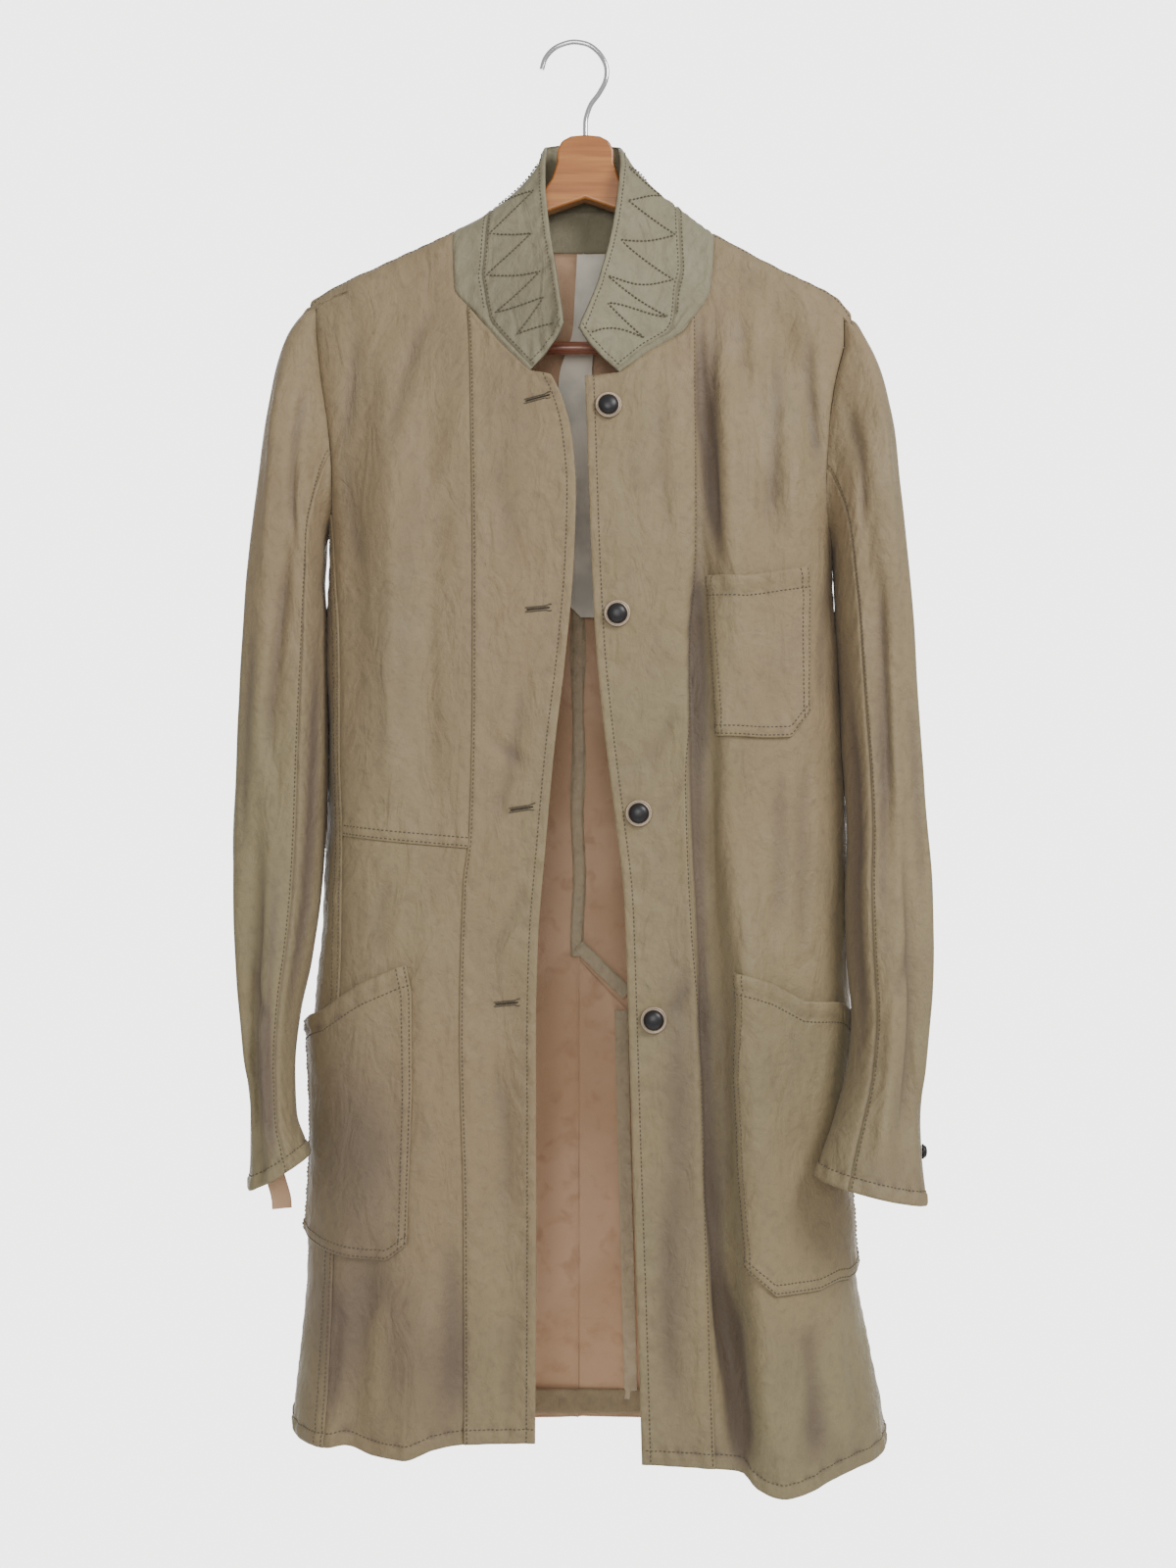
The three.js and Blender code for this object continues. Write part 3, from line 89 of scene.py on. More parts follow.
# The largest folds: top, foot, half width and how far each stands out
FOLDS = columns(
    "side face top_x top_z foot_x foot_z spread out",
    (1, -1, 91, -215, 97, -560, 11, -10), (1, -1, 97, -470, 119, -1130, 12, -15),
    (1, -1, 108, -240, 122, -640, 15, 7), (1, -1, 116, -560, 150, -1200, 24, 17),
    (1, -1, 150, -190, 182, -360, 12, -7), (1, -1, 124, -210, 150, -420, 13, -4),
    (1, -1, 197, -410, 196, -820, 12, -7), (1, -1, 196, -915, 212, -1180, 22, -8),
    (-1, -1, -106, -220, -110, -640, 15, -5), (-1, -1, -162, -225, -167, -560, 14, -7),
    (-1, -1, -134, -240, -140, -600, 16, 4), (-1, -1, -150, -880, -172, -1120, 14, -9),
    (-1, -1, -112, -900, -128, -1200, 20, 9), (-1, -1, -60, -640, -52, -1020, 16, -4),
    (-1, 1, -150, -230, -120, -640, 20, -6), (-1, 1, -60, -560, -85, -1150, 24, 9),
    (-1, 1, -130, -640, -155, -1150, 22, -8), (1, 1, 145, -230, 118, -600, 20, -6),
    (1, 1, 70, -600, 95, -1150, 24, 8), (1, 1, 138, -560, 168, -1150, 24, -8))
FOLD_START, FOLD_END = 0.25, 0.33

# Creases: from and to, how far the middle bows sideways, half width and depth
CREASES = columns(
    "side face from_x from_z to_x to_z bow width out",
    # right front
    (-1, -1, -104, -192, -142, -330, 6, 7, -1.6), (-1, -1, -84, -262, -128, -395, -8, 8, 1.2),
    (-1, -1, -168, -205, -182, -330, -5, 6, -1.6), (-1, -1, -176, -300, -158, -420, 4, 7, -1.4),
    (-1, -1, -120, -300, -124, -575, 7, 8, -1.3), (-1, -1, -146, -360, -152, -596, -5, 8, -1.2),
    (-1, -1, -98, -380, -94, -590, 4, 7, 1.1), (-1, -1, -60, -300, -40, -420, 6, 8, -1.1),
    (-1, -1, -40, -470, -68, -610, -6, 6, -1.5), (-1, -1, -34, -560, -74, -528, 4, 5, -1.2),
    (-1, -1, -48, -590, -76, -650, 5, 6, 1.3), (-1, -1, -38, -628, -70, -700, -4, 5, -1.2),
    (-1, -1, -104, -640, -110, -860, 6, 9, 1.4), (-1, -1, -138, -620, -146, -700, 3, 7, -1.2),
    (-1, -1, -62, -760, -54, -900, -5, 7, -1.3), (-1, -1, -70, -860, -60, -1020, 5, 8, 1.0),
    (-1, -1, -98, -880, -92, -1040, -4, 8, -1.6), (-1, -1, -140, -935, -150, -1045, 4, 8, 1.8),
    (-1, -1, -178, -930, -186, -1045, -3, 7, -1.8), (-1, -1, -44, -940, -50, -1040, 3, 7, -1.2),
    (-1, -1, -190, -470, -188, -640, 3, 6, -1.6), (-1, -1, -184, -620, -192, -730, -3, 6, 1.2),
    # left front
    (1, -1, 106, -190, 102, -400, 5, 5, -2.2), (1, -1, 122, -185, 116, -402, -6, 6, -1.8),
    (1, -1, 134, -190, 128, -400, 4, 7, 1.6), (1, -1, 150, -215, 136, -398, -5, 6, -1.7),
    (1, -1, 176, -205, 186, -345, 6, 5, -1.8), (1, -1, 168, -250, 152, -400, -3, 6, 1.3),
    (1, -1, 60, -250, 72, -400, 4, 7, -1.1), (1, -1, 30, -350, 62, -330, 3, 6, -0.9),
    (1, -1, 40, -560, 74, -500, 5, 6, -1.3), (1, -1, 56, -600, 84, -560, -4, 5, -1.1),
    (1, -1, 62, -740, 84, -700, 3, 6, -1.0), (1, -1, 50, -470, 78, -470, -3, 6, 0.8),
    (1, -1, 110, -545, 116, -700, 4, 8, 1.4), (1, -1, 146, -540, 142, -700, -5, 8, -1.6),
    (1, -1, 172, -520, 168, -720, 4, 7, -1.5), (1, -1, 190, -400, 184, -520, 3, 6, -1.6),
    (1, -1, 106, -700, 109, -900, -3, 5, -1.6), (1, -1, 66, -850, 72, -1040, 5, 8, -1.3),
    (1, -1, 84, -900, 88, -1050, -3, 6, 1.2), (1, -1, 140, -945, 148, -1070, 5, 9, 2.0),
    (1, -1, 162, -940, 172, -1065, -4, 8, -2.2), (1, -1, 190, -935, 198, -1060, 4, 8, 1.8),
    (1, -1, 118, -930, 124, -1060, 3, 7, -2.0), (1, -1, 206, -760, 208, -900, 2, 7, -1.6),
    # the deep fold beside the left band, in stretches, and the ridge that hangs over it
    (1, -1, 94, -185, 109, -425, 7, 4, -3.0), (1, -1, 88, -385, 91, -650, 3, 4, -3.4),
    (1, -1, 89, -560, 95, -790, 0, 4, -3.4), (1, -1, 92, -700, 101, -910, 0, 5, -3.6),
    (1, -1, 97, -820, 112, -1010, 2, 5, -3.6), (1, -1, 103, -910, 120, -1078, 0, 6, -3.4),
    (1, -1, 99, -390, 113, -640, -2, 6, 2.4), (1, -1, 108, -560, 126, -760, 0, 8, 2.2),
    (1, -1, 118, -700, 128, -960, 0, 9, 1.8), (1, -1, 125, -900, 140, -1070, 0, 9, 2.0),
    # backs
    (-1, 1, -96, -190, -150, -330, 6, 8, -1.7), (-1, 1, -40, -240, -60, -420, 5, 9, -1.2),
    (-1, 1, -176, -300, -130, -480, 7, 8, -1.8), (-1, 1, -100, -430, -112, -640, -6, 9, 1.5),
    (-1, 1, -30, -520, -24, -720, 4, 8, -1.3), (-1, 1, -150, -560, -160, -760, -5, 9, -1.6),
    (-1, 1, -20, -760, -34, -960, 4, 9, 1.4), (-1, 1, -110, -780, -120, -1030, 6, 10, -1.8),
    (-1, 1, -176, -800, -184, -1030, -4, 9, 1.8), (-1, 1, -60, -900, -56, -1040, 3, 8, -1.5),
    (1, 1, 100, -195, 152, -330, -6, 8, -1.6), (1, 1, 46, -240, 52, -430, 5, 9, -1.3),
    (1, 1, 178, -310, 126, -500, -7, 8, -1.8), (1, 1, 104, -470, 118, -660, 6, 9, 1.3),
    (1, 1, 34, -500, 28, -690, -4, 8, -1.4), (1, 1, 152, -600, 164, -800, 5, 9, -1.7),
    (1, 1, 28, -800, 40, -1000, -4, 9, 1.2), (1, 1, 112, -820, 124, -1040, 5, 10, -1.7),
    (1, 1, 182, -820, 190, -1040, 4, 9, 1.7), (1, 1, 66, -880, 70, -1040, -3, 8, -1.5))
CREASE_END = 0.3
# FOLD_SHADE scales how dark the fold troughs are painted as shade
CREASE_DEPTH, FOLD_SHADE = 1.6, 0.10
# Places painted darker, partly as shade under the sleeves and beside the deep fold, partly as the leather's
# darker tone, with their half width and half height
SHADE_AND_TONE_SPOTS = columns(
    "side face x z wide tall dark",
    (-1, -1, -164, -830, 42, 75, 0.75), (-1, -1, -186, -955, 34, 55, 0.40),
    (-1, -1, -138, -970, 42, 60, 0.48), (-1, -1, -100, -1005, 32, 60, 0.40),
    (-1, -1, -178, -680, 18, 90, 0.20), (-1, -1, -48, -288, 30, 42, 0.28),
    (1, -1, 74, -795, 14, 120, 0.62), (1, -1, 76, -965, 18, 100, 0.30),
    (1, -1, 150, -1045, 60, 30, 0.45), (1, -1, 90, -500, 7, 95, 0.80),
    (-1, 1, -120, -1020, 70, 60, 0.30), (1, 1, 130, -900, 60, 90, 0.25))
RIPPLES = columns("size out", (64, 1.7), (24, 0.7))
RIPPLE_STRETCH = 1.9


def smooth(t):
    t = np.clip(t, 0, 1)
    return t * t * (3 - 2 * t)


def dip(d, at, width):
    return np.exp(-((d - at) / width) ** 2)


def rows_of(table, side):
    """The rows of a table that belong to one side."""
    for i in np.flatnonzero(table["side"] == side):
        yield {name: column[i] for name, column in table.items()}


def run_along(points):
    return np.concatenate([[0], np.cumsum(np.linalg.norm(np.diff(points, axis=0), axis=1))])


def sampled(at, run, field):
    """The columns of a field read at distances along it."""
    return np.stack([np.interp(at, run, column) for column in field.T], -1)


def read(rows, key, value, column):
    """A column read smoothly between its rows (monotone cubic)."""
    at, of = rows[key], rows[column]
    if at[0] > at[-1]:
        at, of = at[::-1], of[::-1]
    run = np.diff(at)
    slope = np.diff(of) / run
    tangent = np.concatenate([slope[:1], np.zeros(len(at) - 2), slope[-1:]])
    before, after = slope[:-1], slope[1:]
    same = before * after > 0
    tangent[1:-1][same] = 2 * before[same] * after[same] / (before[same] + after[same])
    value = np.clip(value, at[0], at[-1])
    i = np.clip(np.searchsorted(at, value, side="right") - 1, 0, len(run) - 1)
    t = (value - at[i]) / run[i]
    return ((2 * t**3 - 3 * t**2 + 1) * of[i] + (t**3 - 2 * t**2 + t) * tangent[i] * run[i]
            + (3 * t**2 - 2 * t**3) * of[i + 1] + (t**3 - t**2) * tangent[i + 1] * run[i])


def half_width(side, z):
    return read(BODY, "z", z, "right" if side == RIGHT else "left")


def front_depth(side, z):
    return read(BODY, "z", z, "front_right" if side == RIGHT else "front_left")


def turn_arc(side, z):
    return math.pi / 4 * (SIDE_TURN + front_depth(side, z))


def raised(out, off, width, t, start, end):
    """Height of a fold or crease at a distance off its line, fading at both ends."""
    return out * dip(off, 0, width) * smooth(t / start) * smooth((1 - t) / end)


def from_line(x, z, x0, z0, x1, z1):
    """Share of the way along a line, and distance off it."""
    length = math.hypot(x1 - x0, z1 - z0)
    return (((x - x0) * (x1 - x0) + (z - z0) * (z1 - z0)) / length**2,
            ((x - x0) * (z1 - z0) - (z - z0) * (x1 - x0)) / length)


def face_of(w):
    return np.where(w < 0, FRONT, BACK)


def folds(side, w, x, z):
    out = np.zeros(np.shape(x))
    for f in rows_of(FOLDS, side):
        t = (f["top_z"] - z) / (f["top_z"] - f["foot_z"])
        off = x - f["top_x"] - (f["foot_x"] - f["top_x"]) * t
        height = raised(f["out"], off, f["spread"], t, FOLD_START, FOLD_END)
        out += np.where(face_of(w) == f["face"], height, 0)
    return out


def creases(side, w, x, z):
    out = np.zeros(np.shape(x))
    for c in rows_of(CREASES, side):
        t, off = from_line(x, z, c["from_x"], c["from_z"], c["to_x"], c["to_z"])
        off = off - c["bow"] * 4 * t * (1 - t)
        height = raised(c["out"], off, c["width"], t, CREASE_END, CREASE_END)
        out += np.where(face_of(w) == c["face"], height, 0)
    return out


def darkened(spot, across, down):
    """How dark a spot is painted, for shade and for darker tone, at distances from its middle."""
    return spot["dark"] * np.exp(-(across / spot["wide"]) ** 2 - (down / spot["tall"]) ** 2)


# Painted shade and darker tone of the listed spots, by place on the body
def shade_and_tone_spots(side, w, x, z):
    out = np.zeros(np.shape(x))
    for spot in rows_of(SHADE_AND_TONE_SPOTS, side):
        dark = darkened(spot, x - spot["x"], z - spot["z"])
        out += np.where(face_of(w) == spot["face"], dark, 0)
    return out


def body_point(side, s, w):
    """s runs round from the centre line to the side seam, w over the shoulder."""
    s, w = np.broadcast_arrays(np.asarray(s, float), np.asarray(w, float))
    lean = np.minimum(np.abs(w) / CROWN_ARC, 1) * math.pi / 2
    drop = CROWN_DROP * (1 - np.cos(lean)) + np.maximum(np.abs(w) - CROWN_ARC, 0)
    z = read(RIDGE[side], "s", s, "z") - drop
    flat = half_width(side, z) - SIDE_TURN
    turn = np.clip((s - flat) / turn_arc(side, z), 0, 1) * math.pi / 2
    x = side * np.where(s <= flat, s, flat + SIDE_TURN * np.sin(turn))
    depth = np.where(w < 0, front_depth(side, z), read(BODY, "z", z, "back"))
    grown = CROWN_REACH + (depth - CROWN_REACH) * smooth(drop / CHEST_RUN)
    y = face_of(w) * (grown + folds(side, w, x, z)) * np.sin(lean) * np.cos(turn)
    return np.stack([x, y, z], -1)


def unit(v):
    return v / np.maximum(np.linalg.norm(v, axis=-1, keepdims=True), 1e-9)


STEP = 0.5
BODY_SEED = 1.7


def body_normal(side, s, w):
    z = body_point(side, s, w)[..., 2]
    s = np.minimum(s, half_width(side, z) - SIDE_TURN + turn_arc(side, z) - 2 * STEP)
    across = body_point(side, s + STEP, w) - body_point(side, s - STEP, w)
    down = body_point(side, s, w + STEP) - body_point(side, s, w - STEP)
    return unit(np.cross(across, down) * side)


def ripple(points, seed):
    """Soft unevenness of worn leather, in millimetres."""
    flat = points.reshape(-1, 3)
    out = np.zeros(len(flat))
    for size, height in zip(RIPPLES["size"], RIPPLES["out"]):
        scaled = flat / (size, size, size * RIPPLE_STRETCH) + seed
        out += height * np.array([noise.noise(p) for p in scaled])
    return out.reshape(points.shape[:-1])


def on_body(side, s, w, seed=0.0):
    """Points and normals of the creased body at places (s, w)."""
    points, normals = body_point(side, s, w), body_normal(side, s, w)
    x, z = points[..., 0], points[..., 2]
    crease = CREASE_DEPTH * creases(side, w, x, z)
    away = smooth(np.abs(w) / CROWN_ARC)
    lift = (crease + ripple(points, seed)) * away
    fold = FOLD_SHADE * folds(side, w, x, z)
    # Painted shade: crease and fold troughs and the listed spots are painted darker
    dark = (crease + fold) * away - CREASE_DARK * shade_and_tone_spots(side, w, x, z)
    return points + normals * lift[..., None], normals, dark


def place(side, face, x, z):
    """Place (s, w) of a point given by its x and z on one face of the body."""
    x, z = np.broadcast_arrays(np.asarray(x, float), np.asarray(z, float))
    flat = half_width(side, z) - SIDE_TURN
    turn = np.arcsin(np.clip((np.abs(x) - flat) / SIDE_TURN, 0, 1)) / (math.pi / 2)
    s = np.where(np.abs(x) <= flat, np.abs(x), flat + turn * turn_arc(side, z))
    drop = np.maximum(read(RIDGE[side], "s", s, "z") - z, 0)
    crown = np.arccos(np.clip(1 - drop / CROWN_DROP, 0, 1)) / (math.pi / 2) * CROWN_ARC
    return np.stack([s, face * np.where(drop <= CROWN_DROP, crown, CROWN_ARC + drop - CROWN_DROP)], -1)


def seam(side, face, rows, top, foot, count=200):
    """Places down a seam between two heights."""
    z = np.linspace(top, foot, count)
    return place(side, face, read(rows, "z", z, "x"), z)


def edge(side, face, rows, first, last, count=160):
    """Places along an edge between two distances from the centre line."""
    x = side * np.linspace(first, last, count)
    return place(side, face, x, read(rows, "x", x, "z"))


LINE_STEPS = 40
EDGE_LINES = np.array([0, 0.5, 1.2, 2.2, 3.6, 5.4, 7.6, 10.4, 13.8])


def line(*places):
    """A line of places through given corners."""
    corners = np.array(places, float)
    t = np.linspace(0, len(corners) - 1, LINE_STEPS * (len(corners) - 1) + 1)
    return sampled(t, np.arange(len(corners)), corners)


def spaced(length, step):
    """Shares along a side, close together near both ends."""
    near = EDGE_LINES * min(1, length / 4 / EDGE_LINES[-1])
    count = max(int((length - 2 * near[-1]) / step), 2)
    middle = np.linspace(near[-1], length - near[-1], count + 1)[1:-1]
    return np.concatenate([near, middle, length - near[::-1]]) / length


def along(places, shares):
    run = run_along(places)
    return sampled(shares * run[-1], run, places)


GRID_STEP, GRID_DOWN = 3.6, 1.2


def patch(top, bottom, inner, outer, step=GRID_STEP):
    """A grid of places between four sides, each a line of places."""
    length = [np.linalg.norm(np.diff(side, axis=0), axis=1).sum() for side in (top, bottom, inner, outer)]
    u, v = spaced(max(length[:2]), step), spaced(max(length[2:]), step * GRID_DOWN)
    top, bottom = along(top, u), along(bottom, u)
    inner, outer = along(inner, v), along(outer, v)
    u, v = u[None, :, None], v[:, None, None]
    return ((1 - v) * top + v * bottom + (1 - u) * inner[:, None] + u * outer[:, None]
            - (1 - u) * (1 - v) * top[0] - u * (1 - v) * top[-1]
            - (1 - u) * v * bottom[0] - u * v * bottom[-1])


# Lift of the leather at a distance from its edge, by the way the edge is sewn
EDGES = {
    "seam": lambda d: 0.35 * dip(d, 4, 3) - 0.9 * dip(d, 0, 1.4),
    "lap": lambda d: 1.0 - smooth((d - 8) / 4) - 0.7 * dip(d, 0, 0.8) - 0.4 * dip(d, 2, 0.9)
    - 0.4 * dip(d, 8, 1.1),
    "under": lambda d: -0.5 * dip(d, 0, 2),
    "open": lambda d: 0 * d,
    "turned": lambda d: 0.6 * (1 - smooth((d - 6) / 5)) - 0.7 * dip(d, 0, 0.8) - 0.45 * dip(d, 6.5, 1.3),
    "hem": lambda d: 0.9 * (1 - smooth((d - 9) / 4)) - 0.9 * dip(d, 0, 1.0) - 1.0 * dip(d, 10.5, 1.5),
}
# Puckers that the stitching draws in beside an edge: height by the way it is sewn
PUCKER = {"seam": 0.4, "lap": 0.4, "turned": 0.75, "hem": 0.9}
PUCKER_SIZE, PUCKER_DRIFT, PUCKER_FROM_EDGE, PUCKER_REACH = 2.6, 23, 8, 6
# Crease depth and seam dip, in mm, that are painted fully dark as shade
CREASE_DARK, SEAM_DARK = 5.6, 2.4


def sewn(points, normals, crease, edges, seed=0.0):
    """The panel's outer surface, its distances from each side and its shade."""
    down = np.linalg.norm(np.diff(points, axis=0), axis=2)
    across = np.linalg.norm(np.diff(points, axis=1), axis=2)
    down = np.concatenate([np.zeros((1, down.shape[1])), np.cumsum(down, axis=0)])
    across = np.concatenate([np.zeros((across.shape[0], 1)), np.cumsum(across, axis=1)], axis=1)
    far = {"top": down, "bottom": down[-1:] - down, "inner": across, "outer": across[:, -1:] - across}
    lift = np.zeros(points.shape[:2])
    for side, kind in edges.items():
        lift += EDGES[kind](far[side])
        if kind in PUCKER:
            run = down if side in ("inner", "outer") else across
            wave = np.sin(run / PUCKER_SIZE + 3 * np.sin(run / PUCKER_DRIFT + seed) + seed * 9)
            lift += PUCKER[kind] * wave * dip(far[side], PUCKER_FROM_EDGE, PUCKER_REACH)
    # The shade is painted into the colour: darker in creases and where the stitching sinks the leather at its
    # edges
    return {"outer": points + normals * lift[..., None], "normals": normals, "far": far,
            "shade": np.clip(-crease / CREASE_DARK - np.minimum(lift, 0) / SEAM_DARK, -1, 1)}


def added(name, data):
    piece = bpy.data.objects.new(name, data)
    bpy.context.scene.collection.objects.link(piece)
    return piece


def shade_smooth(mesh):
    mesh.polygons.foreach_set("use_smooth", np.ones(len(mesh.polygons), bool))


def shell(name, panel, materials, thickness=WALL):
    """A closed mesh of a panel's outer and inner surface, in metres."""
    outer, normals = panel["outer"], panel["normals"]
    rows, cols = outer.shape[:2]
    inner = outer - normals * thickness
    vertices = np.concatenate([outer.reshape(-1, 3), inner.reshape(-1, 3)]) * MM
    at = np.arange(rows * cols).reshape(rows, cols)
    quads = np.stack([at[:-1, :-1], at[1:, :-1], at[1:, 1:], at[:-1, 1:]], -1).reshape(-1, 4)
    loop = np.concatenate([at[0, :-1], at[:-1, -1], at[-1, :0:-1], at[:0:-1, 0]])
    after = np.roll(loop, -1)
    rim = np.stack([loop, after, after + rows * cols, loop + rows * cols], -1)
    faces = np.concatenate([quads, quads[:, ::-1] + rows * cols, rim])
    # Faces turn outwards, whichever way round the grid runs
    first = quads[len(quads) // 2]
    a, b, c = outer.reshape(-1, 3)[first[:3]]
    if np.dot(np.cross(b - a, c - a), normals.reshape(-1, 3)[first[0]]) < 0:
        faces = faces[:, ::-1]
    mesh = bpy.data.meshes.new(name)
    mesh.from_pydata(vertices.tolist(), [], faces.tolist())
    shade_smooth(mesh)
    for material in materials:
        mesh.materials.append(material)
    index = np.zeros(len(faces), np.int32)
    index[len(quads):2 * len(quads)] = len(materials) - 1
    mesh.polygons.foreach_set("material_index", index)
    shade = mesh.attributes.new("shade", "FLOAT", "POINT")
    shade.data.foreach_set("value", np.tile(panel["shade"].ravel(), 2).astype(np.float32))
    mesh.update()
    piece = added(f"cloth_{name}", mesh)
    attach(piece, "root")
    return piece


def new_material(name, roughness, metallic=0.0, sheen=0.0):
    material = bpy.data.materials.new(name)
    material.use_nodes = True
    shader = material.node_tree.nodes["Principled BSDF"]
    shader.inputs["Roughness"].default_value = roughness
    shader.inputs["Metallic"].default_value = metallic
    shader.inputs["Sheen Weight"].default_value = sheen
    return material, material.node_tree, shader


def plain(name, colour, roughness, metallic=0.0):
    """A material of one colour."""
    material, _, shader = new_material(name, roughness, metallic)
    shader.inputs["Base Color"].default_value = (*colour, 1)
    return material


def noise_node(tree, scale, detail=3.0, distortion=0.0, stretch=(1, 1, 1)):
    """Noise over object coordinates in metres; returns its factor."""
    where = tree.nodes.new("ShaderNodeTexCoord")
    mapping = tree.nodes.new("ShaderNodeMapping")
    mapping.inputs["Scale"].default_value = stretch
    made = tree.nodes.new("ShaderNodeTexNoise")
    made.inputs["Scale"].default_value = scale
    made.inputs["Detail"].default_value = detail
    made.inputs["Distortion"].default_value = distortion
    tree.links.new(where.outputs["Object"], mapping.inputs["Vector"])
    tree.links.new(mapping.outputs["Vector"], made.inputs["Vector"])
    return made.outputs[0]


def ranged(tree, value, low, high, to_low=0.0, to_high=1.0):
    made = tree.nodes.new("ShaderNodeMapRange")
    made.interpolation_type = "SMOOTHSTEP"
    for name, number in zip(("From Min", "From Max", "To Min", "To Max"), (low, high, to_low, to_high)):
        made.inputs[name].default_value = number
    tree.links.new(value, made.inputs["Value"])
    return made.outputs["Result"]


def mixed(tree, factor, a, b):
    """A mix of two colours, each a socket or three numbers."""
    made = tree.nodes.new("ShaderNodeMix")
    made.data_type = "RGBA"
    tree.links.new(factor, made.inputs[0])
    for socket, colour in ((made.inputs[6], a), (made.inputs[7], b)):
        if isinstance(colour, tuple):
            socket.default_value = (*colour, 1)
        else:
            tree.links.new(colour, socket)
    return made.outputs[2]


def bumped(tree, shader, heights):
    """Adds bumps, each a height socket with its strength and distance."""
    normal = None
    for height, strength, distance in heights:
        made = tree.nodes.new("ShaderNodeBump")
        made.inputs["Strength"].default_value = strength
        made.inputs["Distance"].default_value = distance
        tree.links.new(height, made.inputs["Height"])
        if normal:
            tree.links.new(normal, made.inputs["Normal"])
        normal = made.outputs["Normal"]
    tree.links.new(normal, shader.inputs["Normal"])


def leather(name, base, brown, green, dark):
    """Matt khaki glove leather: patches of tone, with painted shade in creases, fold troughs, seams and
    darkened spots.
    """
    material, tree, shader = new_material(name, 0.62, sheen=0.08)
    shader.inputs["Specular IOR Level"].default_value = 0.35
    patches = ranged(tree, noise_node(tree, 6, 3, 0.3), 0.36, 0.66, 0.0, 0.8)
    cast = ranged(tree, noise_node(tree, 3, 3, 0.2, (1.4, 1, 0.6)), 0.36, 0.66, 0.0, 0.8)
    smudge = ranged(tree, noise_node(tree, 19, 6, 0.3, (1.5, 1, 0.8)), 0.46, 0.76, 0.0, 0.16)
    fleck = ranged(tree, noise_node(tree, 150, 4, 0.4), 0.45, 0.75, 0.0, 0.22)
    tone = mixed(tree, patches, base, green)
    tone = mixed(tree, cast, tone, brown)
    tone = mixed(tree, smudge, tone, dark)
    tone = mixed(tree, fleck, tone, dark)
    # The shade attribute paints shade into the colour
    painted_shade = tree.nodes.new("ShaderNodeAttribute")
    painted_shade.attribute_name = "shade"
    tone = mixed(tree, ranged(tree, painted_shade.outputs["Fac"], 0.0, 1.0, 0.0, 0.80), tone, dark)
    tree.links.new(tone, shader.inputs["Base Color"])
    rough = ranged(tree, noise_node(tree, 30, 4), 0.35, 0.65, 0.54, 0.70)
    tree.links.new(rough, shader.inputs["Roughness"])
    bumped(tree, shader, [
        (noise_node(tree, 34, 5, 1.0, (1.6, 1, 0.7)), 0.5, 0.007),
        (noise_node(tree, 120, 4, 1.0), 0.4, 0.0022),
        (noise_node(tree, 420, 3, 0.6), 0.35, 0.0008),
        (noise_node(tree, 1500, 2), 0.25, 0.0003),
    ])
    return material


def suede(name, base, light, dark):
    """The napped flesh side of the leather."""
    material, tree, shader = new_material(name, 0.95, sheen=0.25)
    shader.inputs["Specular IOR Level"].default_value = 0.12
    tone = mixed(tree, ranged(tree, noise_node(tree, 9, 4, 0.5), 0.38, 0.64), base, light)
    tone = mixed(tree, ranged(tree, noise_node(tree, 60, 4, 0.4), 0.5, 0.75, 0.0, 0.6), tone, dark)
    tree.links.new(tone, shader.inputs["Base Color"])
    bumped(tree, shader, [(noise_node(tree, 40, 4, 0.8), 0.3, 0.004),
                          (noise_node(tree, 700, 3), 0.4, 0.0006)])
    return material


KHAKI = leather("leather", (0.256, 0.199, 0.108), (0.268, 0.190, 0.106), (0.236, 0.198, 0.108),
                (0.112, 0.080, 0.060))
SUEDE = suede("suede_side", (0.52, 0.335, 0.205), (0.60, 0.40, 0.262), (0.40, 0.238, 0.142))
THREAD = plain("thread", (0.105, 0.088, 0.062), 0.8)


def beside(panel, side, distance, start=0.0, end=1.0):
    """A path on the panel at a distance from one of its sides."""
    order = (1, 0) if side in ("top", "bottom") else (0, 1)
    far = panel["far"][side].transpose(order)
    points = panel["outer"].transpose(*order, 2)
    normals = panel["normals"].transpose(*order, 2)
    first, last = int(start * len(far)), max(int(end * len(far)), 1)
    path = []
    for d, p, n in zip(far[first:last], points[first:last], normals[first:last]):
        if d[0] > d[-1]:
            d, p, n = d[::-1], p[::-1], n[::-1]
        path.append([np.interp(distance, d, field[:, k]) for field in (p, n) for k in range(3)])
    path = np.array(path)
    return path[:, :3], path[:, 3:]


PITCH, STITCH, THICK = 3.3, 2.5, 0.42
# A stitch's ends lie under the leather and its middle stands proud, in thread radii;
# the middle runs straight for a share of the length to either side
STITCH_SUNK, STITCH_PROUD = 0.6, 0.5
STITCH_FLAT = 0.27


